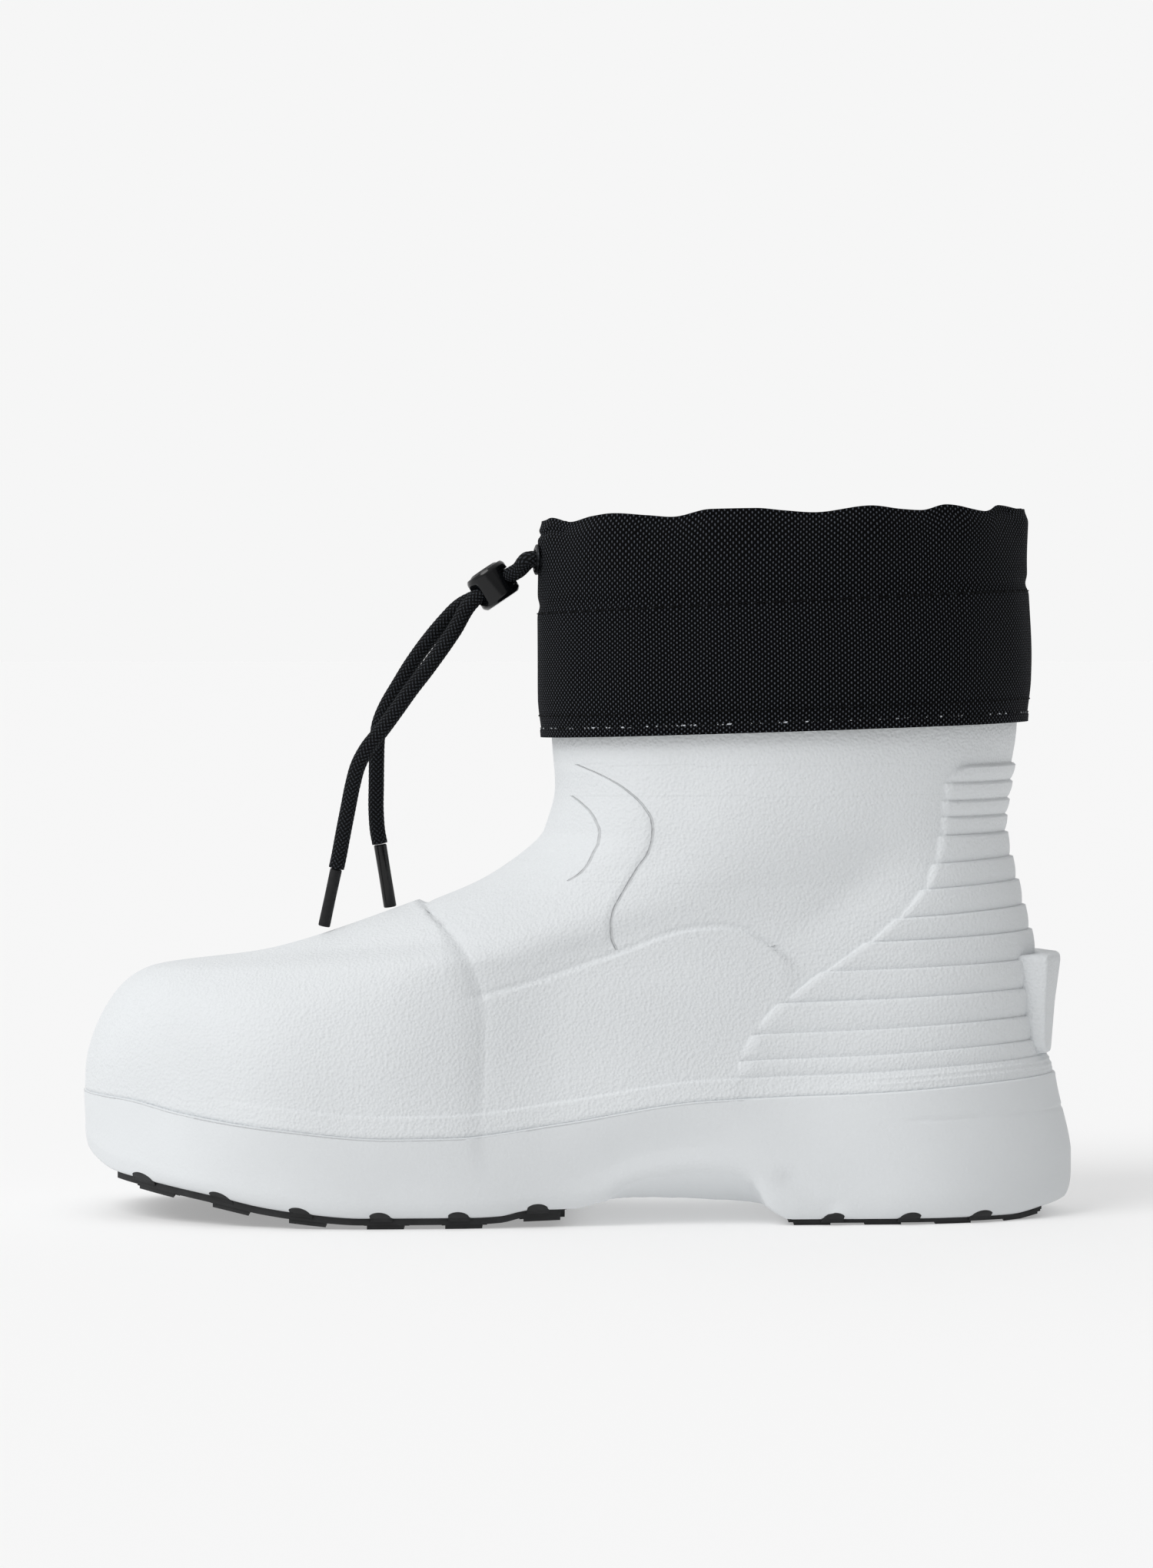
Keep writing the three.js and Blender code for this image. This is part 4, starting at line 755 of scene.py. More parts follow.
def round_piece(name, profile, segments, origin, way, finish, replaced, bored=False):
    """A turned piece: profile of radius and height pairs about the axis.

    Both ends are closed, or with a bore the profile closes on itself.
    """
    turn = Vector((0, 0, 1)).rotation_difference(Vector(way).normalized()).to_matrix()
    angles = np.linspace(0, 2 * math.pi, segments, endpoint=False)
    profile = np.array(profile, float)
    rings = np.stack([
        profile[:, :1] * np.cos(angles), profile[:, :1] * np.sin(angles),
        np.broadcast_to(profile[:, 1:], (len(profile), segments)),
    ], axis=-1)
    points = rings.reshape(-1, 3) @ np.array(turn).T + np.asarray(origin, float)
    count = len(profile)
    faces = grid_faces(count, segments, True) if bored else capped_faces(count, segments)
    return new_piece(name, points, faces, finish, replaced)


def rounded(corners, radius, steps=5):
    """A profile whose inner corners are rounded."""
    corners = [np.array(c, float) for c in corners]
    out = [corners[0]]
    for before, corner, after in zip(corners, corners[1:], corners[2:]):
        ways = [before - corner, after - corner]
        lengths = [np.linalg.norm(w) for w in ways]
        reach = min(radius, 0.45 * min(lengths))
        start, end = (corner + w / n * reach for w, n in zip(ways, lengths))
        for t in np.linspace(0, 1, steps):
            out.append(start * (1 - t) ** 2 + corner * 2 * t * (1 - t) + end * t * t)
    out.append(corners[-1])
    return out


def make_aglet(name, node_name, start, end, diameter, finish):
    """Shrunk sleeve over the end of a strand, a little slacker in its middle."""
    way = end - start
    length = float(np.linalg.norm(way))
    radius = diameter / 2
    corners = [(AXIS, SEAT_GAP), (radius, SEAT_GAP), (radius * AGLET_WAIST, length / 2),
               (radius, length), (AXIS, length)]
    profile = rounded(corners, 0.45)
    return round_piece(name, profile, 40, start, way / length, finish, [node_name])


BORE_RADIUS = CORD_DIAMETER / 2 + CORD_CLEARANCE
EYELET_WALL, EYELET_FLANGE = 0.7, 4.5
EYELET_SEAT, EYELET_EDGE, EYELET_CROWN = 0.15, 0.5, 0.9


def make_eyelet(name, node_name, seat):
    point, way = seat
    under = SEAT_GAP + EYELET_SEAT
    crown = under + EYELET_CROWN
    barrel = BORE_RADIUS + EYELET_WALL
    corners = [
        (BORE_RADIUS, -CUFF_WALL), (BORE_RADIUS, crown), (barrel, crown),
        (EYELET_FLANGE, under + EYELET_EDGE), (EYELET_FLANGE, under), (barrel, under),
        (barrel, -CUFF_WALL),
        (BORE_RADIUS, -CUFF_WALL),
    ]
    profile = rounded(corners, 0.35)[:-1]
    return round_piece(name, profile, 56, point, way, EYELET, [node_name], bored=True)


seats = {-1: eyelet_seat(-1), 1: eyelet_seat(1)}
CORD_ORIGIN = (seats[-1][0] + seats[1][0]) / 2 * np.array([1, 0, 1])
LOCK_CENTRE = (CORD_ORIGIN + np.array(STRAND_LEFT[2])) * np.array([1, 0, 1])
LOCK_WAY = np.array([-math.sin(LOCK_TILT), 0, math.cos(LOCK_TILT)])
LOCK_BUTTON_RADIUS = 4.7
LOCK_BUTTON_DEPTH = 1.5
LOCK_BUTTON_RISE, LOCK_BUTTON_BEVEL = 0.5, 0.8
LOCK_CHAMFER, LOCK_LIP = 1.0, 0.6
SLOT_CLEARANCE = 0.05


def make_lock():
    """Cord lock: a short barrel with a slot for both strands, and its plunger."""
    radius, half = LOCK_DIAMETER / 2, LOCK_LENGTH / 2
    recess = LOCK_BUTTON_RADIUS + SEAT_GAP
    floor = half - LOCK_BUTTON_DEPTH
    corners = [
        (AXIS, -half), (radius - LOCK_CHAMFER, -half), (radius, -half + LOCK_CHAMFER),
        (radius, half - LOCK_CHAMFER), (radius - LOCK_LIP, half), (recess, half), (recess, floor),
        (AXIS, floor),
    ]
    barrel = round_piece("cord_lock_barrel", rounded(corners, 0.4), 96, LOCK_CENTRE, LOCK_WAY,
                         PLASTIC, ["cord_lock"])
    along = np.array([math.cos(LOCK_TILT), 0, math.sin(LOCK_TILT)])
    slot_half = CORD_DIAMETER / 2 + SLOT_CLEARANCE
    reach = (CORD_DIAMETER + CORD_GAP) / 2
    outline = []
    for side in (1, -1):
        for t in np.linspace(-math.pi / 2, math.pi / 2, 17):
            outline.append((side * (reach + slot_half * math.cos(t)), side * slot_half * math.sin(t)))
    outline = np.array(outline)
    across, up = np.array([0, 1.0, 0]), LOCK_WAY
    rings = [LOCK_CENTRE + along * end + outline[:, :1] * across + outline[:, 1:] * up
             for end in (-LOCK_DIAMETER, LOCK_DIAMETER)]
    count = len(outline)
    mesh = bpy.data.meshes.new("slot")
    faces = grid_faces(2, count, False) + [list(range(count)), list(range(count, 2 * count))]
    mesh.from_pydata(to_frame(np.vstack(rings)), [], faces)
    cutter = bpy.data.objects.new("slot", mesh)
    bpy.context.scene.collection.objects.link(cutter)
    face_outwards(mesh)
    cut = barrel.modifiers.new("slot", "BOOLEAN")
    cut.operation, cut.object, cut.solver = "DIFFERENCE", cutter, "EXACT"
    apply_modifiers(barrel)
    bpy.data.objects.remove(cutter)
    low, top = floor + SEAT_GAP, half + LOCK_BUTTON_RISE
    corners = [(AXIS, low), (LOCK_BUTTON_RADIUS, low), (LOCK_BUTTON_RADIUS, half),
               (LOCK_BUTTON_RADIUS - LOCK_BUTTON_BEVEL, top), (AXIS, top)]
    button = round_piece("cord_lock_plunger", rounded(corners, 0.4), 72, LOCK_CENTRE, LOCK_WAY,
                         PLASTIC, ["cord_lock_button"])
    return barrel, button


def apply_modifiers(piece):
    """The piece's mesh with its modifiers built in."""
    bpy.context.view_layer.update()
    graph = bpy.context.evaluated_depsgraph_get()
    built = bpy.data.meshes.new_from_object(piece.evaluated_get(graph))
    piece.modifiers.clear()
    piece.data = built
    for polygon in built.polygons:
        polygon.use_smooth = True


def make_drawcord():
    make_eyelet("eyelet_outer_side", "eyelet_left", seats[-1])
    make_eyelet("eyelet_inner_side", "eyelet_right", seats[1])
    barrel, button = make_lock()
    for side, route, tip, diameter, finish, on_it in (
        ("left", STRAND_LEFT, AGLET_LEFT_TIP, AGLET_LEFT_DIAMETER, SLEEVE_DULL, [barrel, button]),
        ("right", STRAND_RIGHT, AGLET_RIGHT_TIP, AGLET_RIGHT_DIAMETER, SLEEVE_GLOSSY, []),
    ):
        points = np.array(route) + CORD_ORIGIN
        seat = seats[-1 if side == "left" else 1]
        strand, path, length = make_strand("drawcord_strand_" + side, "drawcord_" + side, seat, points)
        sleeve = make_aglet("aglet_sleeve_" + side, "aglet_" + side, points[-1],
                            np.array(tip) + CORD_ORIGIN, diameter, finish)


make_drawcord()


# Columns of the fine upper: heel panel, waist and toe, on the outer and on the inner side
OUTER_STEPS = (46, 170, 46)
INNER_STEPS = (20, 40, 20)
EVEN_ROWS, INSIDE_ROWS = 190, 20
RIB_ROWS = (0.0, 0.15, 0.4, 1.0)

# Relief of the moulding, in millimetres
PANEL_BEVEL = 0.9
HEEL_PANEL_STEP = 0.6
RIB_STEP, RIB_BULGE, RIB_UNDERCUT = 1.0, 0.32, 0.2
RIB_JOG = 1.2
TOE_CAP_STEP = 1.5
TOE_CAP_FADE = 70
CAP_VALLEY, CAP_VALLEY_MORE, CAP_VALLEY_REACH = 0.85, 0.2, 2.2
CAP_TOP, CAP_FOOT_FADE = 96, (28, 44)
SIDE_PANEL_STEP, SIDE_PANEL_GROOVE = 0.75, 0.25
ANKLE_STEP = 0.6
ARC_LOW, ARC_HIGH = 98, 123
NO_LINE = 50
BAND_STEP = 0.6
BAND_RIB = 0.3
BAND_RIBS = (44.9, 43.3)
LEDGE_GROOVE = 0.28
RIM_BEYOND = 0.45
TOE_FILL = 0.7


def ring_angles(heights):
    """Angles of each ring's columns, which follow the heel panel and the toe cap."""
    panel = angle_of_line(np.minimum(heights, RIB_TOPS[0]), heel_panel_line)
    followed = angle_of_line(np.minimum(heights, CAP_EDGE_HEIGHT * 0.96), cap_edge_line)
    release = ease(CAP_EDGE_HEIGHT, BOOT_HEIGHT * 0.6, heights)
    cap = mix(np.minimum(followed, math.pi - 0.42), math.pi * 0.72, release)
    speed = np.linalg.norm(plain(heights, panel + 0.01) - plain(heights, panel - 0.01), axis=-1) / 0.02
    fall = rib_place(heights)[2]
    jog = RIB_JOG * (0.5 - fall) * ((heights < RIB_TOPS[0]) & (heights > BAND_TOP))
    panel = panel + jog / speed
    bevel = PANEL_BEVEL / speed
    halves = []
    for heel_steps, waist_steps, toe_steps in (OUTER_STEPS, INNER_STEPS):
        heel = (panel - bevel)[:, None] * np.linspace(0, 1, heel_steps)[None, :]
        middle = (panel - bevel * 0.3)[:, None]
        waist_from, waist_to = panel + bevel * 0.4, cap - 0.01
        waist = mix(waist_from[:, None], waist_to[:, None], np.linspace(0, 1, waist_steps)[None, :])
        toe = mix((cap + 0.004)[:, None], math.pi, np.linspace(0, 1, toe_steps)[None, :])
        halves.append(np.concatenate([heel, middle, waist, toe], axis=1))
    whole = np.concatenate([halves[0], 2 * math.pi - halves[1][:, -2:0:-1]], axis=1)
    return whole, panel, bevel


def rib_place(height):
    """Top and foot of the rib at a height, and how far down the rib it is, from 0 to 1."""
    tops = np.array(RIB_TOPS + (BAND_TOP,))
    i = np.clip(np.searchsorted(-tops, -np.asarray(height), side="right") - 1, 0, len(tops) - 2)
    fall = np.clip((tops[i] - height) / (tops[i] - tops[i + 1]), 0, 1)
    return tops[i], tops[i + 1], fall


def rib_relief(height):
    """Proud at each rib's top edge, falling to a small undercut at its foot."""
    top, foot, fall = rib_place(height)
    step = RIB_STEP * np.clip((top - foot) / 7.4, 0.75, 1)
    face = step * (1 - fall) + RIB_BULGE * np.sin(math.pi * fall)
    edge = 1 - (1 - ease(0, 0.35, top - height)) * 0.8
    undercut = RIB_UNDERCUT * (1 - ease(0, 0.8, height - foot))
    relief = HEEL_PANEL_STEP + face * edge - undercut
    relief = np.where(height < BAND_TOP, HEEL_PANEL_STEP, relief)
    return np.where(height > RIB_TOPS[0], 0, relief)


def ridge(distance, half_width):
    return np.exp(-(distance / half_width) ** 2)


def upper_relief(height, angle, panel, bevel):
    side = np.where(angle > math.pi, 2 * math.pi - angle, angle)
    point = plain(height, angle)
    x, y, z = point[..., 0], point[..., 1], point[..., 2]
    corner = bevel * 3.2 * np.clip((height - RIB_TOPS[1]) / (RIB_TOPS[0] - RIB_TOPS[1]), 0, 1) ** 3
    in_panel = ease(0, 1, (panel - corner - side) / bevel)
    relief = rib_relief(height) * in_panel
    low = z < CAP_TOP
    ahead = cap_edge_line(np.clip(z, 0, 93)) - x
    cap_on = ease(-0.1, 1.1, ahead) * low
    cap_low = ease(*CAP_FOOT_FADE, z)
    rising = np.where(ahead < 0, np.exp(np.minimum(ahead, 0) / CAP_VALLEY_REACH), 1 - cap_on)
    valley = (CAP_VALLEY + CAP_VALLEY_MORE * ease(80, 90, z)) * rising * low * cap_low
    relief = relief + TOE_CAP_STEP * cap_on * (1 - ease(0, TOE_CAP_FADE, ahead)) - valley
    below = side_panel_line(x) - z
    beyond = ease(BOOT_LENGTH * 0.226, BOOT_LENGTH * 0.2, x)
    panel_on = ease(-0.2, 0.5, below) * (1 - cap_on) * (1 - in_panel) * beyond
    edge_groove = SIDE_PANEL_GROOVE * ridge(below + 0.9, 0.8) * (1 - cap_on) * (1 - in_panel) * beyond
    relief = relief + (SIDE_PANEL_STEP * panel_on - edge_groove) * low
    before = ankle_line(z) - x
    reach = ease(ANKLE_LINE[0][0] - 1, ANKLE_LINE[0][0] + 5, z)
    top = 1 - ease(BOOT_HEIGHT * 0.628, BOOT_HEIGHT * 0.645, z)
    off_middle = ease(2, 24, np.abs(y))
    ankle_on = reach * top * off_middle * (1 - cap_on)
    relief = relief + ankle_on * ANKLE_STEP * ease(-0.4, 2.2, before)
    band_reach = ease(-104, -84, x)
    relief = relief + BAND_STEP * ease(BAND_TOP + 0.35, BAND_TOP - 0.35, height) * band_reach
    for rib in BAND_RIBS:
        relief = relief + BAND_RIB * ridge(height - rib, 0.45) * ease(82, 88, x)
    relief = relief + TOE_FILL * ease(-112, -136, x) * ease(62, 44, z)
    return relief - LEDGE_GROOVE * ease(LEDGE_HEIGHT + 0.7, LEDGE_HEIGHT, height)


def line_distances(height, angle):
    """Distance along the boot to the ankle line and to the arc; far away where they end."""
    point = plain(height, angle)
    x, y, z = point[..., 0], point[..., 1], point[..., 2]
    clear = np.abs(y) > 9
    on_ankle = clear & (z > ANKLE_LINE[0][0]) & (z < BOOT_HEIGHT * 0.64)
    on_arc = clear & (z > ARC_LOW) & (z < ARC_HIGH)
    ankle = np.where(on_ankle, ankle_line(z) - x, NO_LINE)
    arc = np.where(on_arc, arc_line(z) - x, NO_LINE)
    return np.stack([ankle, arc], axis=-1)


def upper_rows():
    """Heights of the fine rings: even along the vamp, close together at each rib's edge."""
    h = np.linspace(BAND_TOP + 0.6, HEM_HEIGHT + 8, 600)
    toe_x, toe_z = ring_curves["toe_x"](h), ring_curves["toe_z"](h)
    run = np.hypot(np.diff(toe_x), np.diff(toe_z)) + 2.5 * np.diff(h)
    run = np.concatenate([[0], np.cumsum(run)])
    even = np.interp(np.linspace(0, run[-1], EVEN_ROWS), run, h)
    foot = [LEDGE_HEIGHT + d for d in (0.25, 0.5, 0.8, 1.3)]
    band = [rib + d for rib in BAND_RIBS for d in (-0.5, -0.2, 0, 0.2, 0.5)]
    band += [BAND_TOP + d for d in (-0.8, -0.35, -0.1, 0.1, 0.35)]
    ribs = [top - d for top in RIB_TOPS for d in RIB_ROWS] + [top + 0.12 for top in RIB_TOPS]
    rows = np.sort(np.concatenate([even, foot, band, ribs]))
    keep = [rows[0]]
    for row in rows[1:]:
        if row - keep[-1] > 0.09:
            keep.append(row)
    return np.array(keep)


def make_upper():
    heights = upper_rows()
    angles, panel, bevel = ring_angles(heights)
    tall = np.broadcast_to(heights[:, None], angles.shape)
    outer = proud(tall, angles, upper_relief(tall, angles, panel[:, None], bevel[:, None]))
    foot_angles, foot_panel, foot_bevel = (part[0] for part in ring_angles(np.array([LEDGE_HEIGHT])))
    foot_relief = upper_relief(LEDGE_HEIGHT, foot_angles, foot_panel, foot_bevel)
    foot = ledge_points(foot_angles, foot_relief, -SEAT_GAP)
    under = ledge_points(foot_angles, np.full(foot_angles.shape, -UPPER_WALL), -SEAT_GAP)
    top_angles = angles[-1]
    collar_in = proud(heights[-1], top_angles, np.full(top_angles.shape, -UPPER_WALL))
    inner_heights = np.linspace(heights[-1], LEDGE_HEIGHT + 2, INSIDE_ROWS)
    inner_angles = ring_angles(inner_heights)[0]
    inner_tall = np.broadcast_to(inner_heights[:, None], inner_angles.shape)
    inner = proud(inner_tall, inner_angles, np.full(inner_angles.shape, -UPPER_WALL))
    rings = np.concatenate([foot[None], outer, collar_in[None], inner[1:], under[None]])
    faces = grid_faces(len(rings), rings.shape[1], True)
    distances = np.full(rings.shape[:2] + (2,), float(NO_LINE))
    distances[1:1 + len(heights)] = line_distances(tall, angles)
    return new_piece("upper_shell", rings.reshape(-1, 3), faces, LINED_FOAM, ["upper"],
                     distances.reshape(-1, 2))


make_upper()


# Kick spur: heights with how far the edge is drawn in, then its half width, its reach behind
# the heel, both at the bottom and at the top, and where its shoulder lies on that reach
SPUR_LEVELS = ((47.5, 1.2), (48.6, 0.4), (50, 0), (62, 0), (74, 0), (74.9, 0.15), (75.6, 0.6),
               (76.1, 1.4))
SPUR_BOTTOM, SPUR_TOP = 47, 77
SPUR_HALF, SPUR_REACH = (16, 20), (2.6, 8.3)
SPUR_BACK_HALF, SPUR_SHOULDER = 5, 0.65
SPUR_ROOT, SPUR_ROUND = 1.4, 0.9


def make_spur():
    """Kick spur on the heel: a wide blunt tab with a narrower back and a flat top."""
    rings = []
    for z, inset in SPUR_LEVELS:
        rise = (z - SPUR_BOTTOM) / (SPUR_TOP - SPUR_BOTTOM)
        half = mix(*SPUR_HALF, rise) - inset
        heel_x = float(plain(z, 0)[0])
        back = heel_x + mix(*SPUR_REACH, rise) - inset / 3
        radius = float(ring_curves["heel_radius"](z))
        root = [(heel_x - y * y / (2 * radius) - SPUR_ROOT, y) for y in (-half, 0, half)]
        shoulder = mix(root[0][0] + SPUR_ROOT, back, SPUR_SHOULDER)
        corners = [root[2], (shoulder, half), (back, SPUR_BACK_HALF), (back, -SPUR_BACK_HALF),
                   (shoulder, -half), root[0]]
        outline = rounded(corners, SPUR_ROUND, 6)
        rings.append([(x, y, z) for x, y in [*outline, root[1]]])
    count = len(rings[0])
    points = np.array(rings).reshape(-1, 3)
    faces = grid_faces(len(rings), count, False)
    faces += [list(range(count)), list(range((len(rings) - 1) * count, len(rings) * count))]
    return new_piece("kick_spur", points, faces, FOAM)


make_spur()

SOLE_COLUMNS = 420
SOLE_ROWS = 64
UNDER_ROWS = 24
HEEL_LINE_HEIGHT = 30.6
HEEL_LINE_DEPTH = 0.35
DENT_FROM, DENT_TO = (60.5, 13.5), (72.5, 5.5)
DENT_DEPTH, DENT_HALF = 0.9, 2.6
# Shares of the way down the sole's side: where its flare ends, and where it tucks under
FLARE_SHARE, TUCK_FROM, TOE_CHAMFER = 0.62, 0.78, 0.85


def underside(x, y):
    """Height of the sole's underside, with the arch scoops on each side of the bridge."""
    share = heel_share(x)
    rim = rim_line(share)
    offset = y - last_line(share)
    height = rim
    for side, (front, back) in SCOOPS.items():
        along = (x - front * BOOT_LENGTH) / ((back - front) * BOOT_LENGTH)
        roof = scoop_roof(np.clip(along, 0, 1))
        across = (side * offset - BRIDGE_HALF_WIDTH) / (plan_half(x, 0) - BRIDGE_HALF_WIDTH)
        hollow = 3 + (roof - 3) * np.clip(across, 0, 1.05)
        within = (along > 0) & (along < 1) & (across > 0)
        height = np.where(within, np.maximum(hollow, rim), height)
    return height


def rim_reach(angles):
    """How far the sole's rim stands out from the upper's plain foot."""
    panel, bevel = (part[0] for part in ring_angles(np.array([LEDGE_HEIGHT]))[1:])
    foot = upper_relief(LEDGE_HEIGHT, angles, panel, bevel) + LEDGE_GROOVE
    toe = ease(0.93, 1, (1 - np.cos(angles)) / 2)
    return np.maximum(foot + mix(RIM_BEYOND, 0.25, toe), mix(LEDGE_STEP, 0.9, toe))


def tuck_in(angles):
    return mix(SOLE_TUCK, TOE_TUCK, ease(0.86, 1, (1 - np.cos(angles)) / 2))


def sole_side(angles, fall):
    """Points of the sole's side, from the rim under the upper at 0 to the underside at 1."""
    rim = ledge_points(angles, rim_reach(angles), 0)
    plan, tucked = plan_points(angles, 0), plan_points(angles, tuck_in(angles))
    fall = np.broadcast_to(np.asarray(fall, float), angles.shape)
    climb = np.clip(fall / FLARE_SHARE, 0, 1)
    ring = mix(rim, plan, (0.5 * ease(0, 1, climb) + 0.5 * climb)[:, None])
    chamfer = TOE_CHAMFER * ease(0.9, 1, (1 - np.cos(angles)) / 2)
    tuck = np.clip((fall - TUCK_FROM) / (1 - TUCK_FROM), 0, 1)
    inward = mix(1 - np.sqrt(np.maximum(1 - tuck ** 2, 0)), tuck, chamfer)
    ring = mix(ring, tucked, inward[:, None])
    ring[:, 2] = mix(rim[:, 2], underside(tucked[:, 0], tucked[:, 1]), fall)
    x, z = ring[:, 0], ring[:, 2]
    inward = HEEL_LINE_DEPTH * ridge(z - HEEL_LINE_HEIGHT - 0.02 * (x - 115), 0.5) * ease(93, 98, x)
    (x0, z0), (x1, z1) = DENT_FROM, DENT_TO
    square = (x1 - x0) ** 2 + (z1 - z0) ** 2
    share = np.clip(((x - x0) * (x1 - x0) + (z - z0) * (z1 - z0)) / square, 0, 1)
    gap = np.hypot(x - mix(x0, x1, share), z - mix(z0, z1, share))
    inward = inward + DENT_DEPTH * ridge(gap, DENT_HALF)
    middle = last_line(heel_share(x))
    away = np.stack([ease(100, 145, x), np.sign(ring[:, 1] - middle) * ease(146, 100, x)], axis=-1)
    ring[:, :2] -= away * inward[:, None]
    return ring


def make_midsole():
    angles = np.linspace(0, 2 * math.pi, SOLE_COLUMNS, endpoint=False)
    cup = [ledge_points(angles, np.full(angles.shape, -UPPER_WALL - inset), 0) for inset in (4, 0)]
    for ring, lift in zip(cup, (0, 4)):
        ring[:, 2] = footbed_line(heel_share(ring[:, 0])) + lift
    lip = ledge_points(angles, np.full(angles.shape, -UPPER_WALL), -SEAT_GAP)
    lip_edge = ledge_points(angles, rim_reach(angles) - 0.8, 0)
    rounded_edge = ledge_points(angles, rim_reach(angles) - 0.25, -0.12)
    rings = [cup[0], cup[1], lip, lip_edge, rounded_edge]
    for fall in np.linspace(0, 1, SOLE_ROWS):
        rings.append(sole_side(angles, fall))
    rings[5][:, 2] -= 0.45
    tucked = plan_points(angles, tuck_in(angles))
    centre = np.stack([tucked[:, 0], last_line(heel_share(tucked[:, 0])), tucked[:, 2]], axis=-1)
    for inward in np.linspace(0, 0.98, UNDER_ROWS)[1:]:
        ring = mix(tucked, centre, inward)
        ring[:, 2] = underside(ring[:, 0], ring[:, 1])
        rings.append(ring)
    points = np.array(rings)
    faces = capped_faces(len(rings), SOLE_COLUMNS)
    return new_piece("sole_unit", points.reshape(-1, 3), faces, SOLE_FOAM, ["midsole"])


make_midsole()

# Rubber under the white sole: its base sheet and the half-round tabs at the lugs
BASE_THICKNESS, BASE_MARGIN, BASE_LOWEST, BASE_TAPER = 2.0, 3.0, 0.6, 7
BASES = {"forefoot_tread_base": (-133.4, -3), "heel_tread_base": (62, 127)}
TAB_PLACES = (-124, -101.3, -78.3, -55.5, -33.4, -11.1, 73.2, 95.1, 115.9)
TAB_LENGTH, TAB_HEIGHT, TAB_PROUD, TAB_DEPTH = 6.4, 1.9, 0.3, 1.6


def make_tread_base(name, low_x, high_x):
    stations = np.linspace(low_x, high_x, int((high_x - low_x) / 1.5))
    rim = rim_line(heel_share(stations))
    half = plan_half(stations, BASE_MARGIN)
    centre = last_line(heel_share(stations))
    thickness = BASE_THICKNESS * np.clip((high_x - stations) / BASE_TAPER, 0.1, 1)
    under = np.maximum(rim - thickness, BASE_LOWEST)
    corners = [(-1, under), (-1, rim + 0.1), (1, rim + 0.1), (1, under)]
    sections = [np.stack([stations, centre + side * half, z], axis=-1) for side, z in corners]
    rings = np.stack(sections, axis=1)
    faces = grid_faces(len(stations), 4, False)
    faces += [list(range(4)), list(range(4 * len(stations) - 4, 4 * len(stations)))]
    new_piece(name, rings.reshape(-1, 3), faces, RUBBER, smooth=False)


def make_tabs():
    """Half-round tabs of the tread that reach up the sole's side."""
    wide, tall = 17, 8
    points, faces = [], []
    for centre in TAB_PLACES:
        for side in (-1, 1):
            across = np.linspace(-1, 1, wide)
            x = centre + across * TAB_LENGTH / 2
            share = 0.5 - x / (BOOT_LENGTH - 2 * SOLE_TUCK)
            angle = np.arccos(1 - 2 * share)
            angle = angle if side < 0 else 2 * math.pi - angle
            top = sole_side(angle, 0.0)[:, 2]
            bottom = sole_side(angle, 1.0)[:, 2]
            height = TAB_HEIGHT * np.sqrt(1 - across ** 2)
            faces_up = []
            for rise in np.linspace(0, 1, tall):
                z = bottom - 1 + rise * (1 + height)
                ring = sole_side(angle, np.clip((top - z) / (top - bottom), 0, 1))
                ring[:, 2] = z
                ring[:, 1] += side * TAB_PROUD * (1 - rise ** 6)
                faces_up.append(ring)
            inner = [ring - np.array([0, side * TAB_DEPTH, 0]) for ring in reversed(faces_up)]
            block = np.stack(faces_up + inner, axis=1)
            start = sum(len(b) for b in points)
            points.append(block.reshape(-1, 3))
            count = 2 * tall
            for face in capped_faces(wide, count):
                faces.append([start + i for i in face])
    new_piece("tread_edge_tabs", np.vstack(points), faces, RUBBER)


for base_name, (base_low, base_high) in BASES.items():
    make_tread_base(base_name, base_low, base_high)
make_tabs()


def make_tread(name, node_name):
    """The rubber solid itself, with its edges rounded as they leave the mould."""
    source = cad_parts[node_name]
    mesh = source.data.copy()
    mesh.name = name
    mesh.materials.clear()
    mesh.materials.append(RUBBER)
    piece = bpy.data.objects.new(name, mesh)
    bpy.context.scene.collection.objects.link(piece)
    solid = bmesh.new()
    solid.from_mesh(mesh)
    bmesh.ops.remove_doubles(solid, verts=solid.verts, dist=1e-6)
    bmesh.ops.dissolve_limit(solid, angle_limit=math.radians(1.5), verts=solid.verts, edges=solid.edges)
    solid.to_mesh(mesh)
    solid.free()
    soften = piece.modifiers.new("edges", "BEVEL")
    soften.width, soften.segments, soften.limit_method = 0.35 * MM, 2, "ANGLE"
    soften.angle_limit = math.radians(40)
    apply_modifiers(piece)
    for polygon in piece.data.polygons:
        polygon.use_smooth = False
    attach(piece, "root")
    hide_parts(node_name)
    return piece


make_tread("forefoot_tread", "outsole_forefoot")
make_tread("heel_tread", "outsole_heel")


# Insole: how far each ring is inside the cup and above its floor
INSOLE_COLUMNS, INSOLE_CLEARANCE = 240, 0.5
INSOLE_RINGS = ((4.4, 0), (0.4, 4.4), (0.4, 4.6), (1.0, 5), (6, 4.9), (14, 4.6), (24, 4.4))


def make_insole():
    angles = np.linspace(0, 2 * math.pi, INSOLE_COLUMNS, endpoint=False)
    rings = []
    for inset, lift in INSOLE_RINGS:
        ring = ledge_points(angles, np.full(angles.shape, -UPPER_WALL - INSOLE_CLEARANCE - inset), 0)
        ring[:, 2] = footbed_line(heel_share(ring[:, 0])) + SEAT_GAP + lift
        rings.append(ring)
    points = np.array(rings).reshape(-1, 3)
    faces = capped_faces(len(rings), INSOLE_COLUMNS)
    return new_piece("insole_felt", points, faces, FELT, ["insole"])


make_insole()

CUFF_COLUMNS = 520
CUFF_ROWS, LINING_ROWS = 124, 24

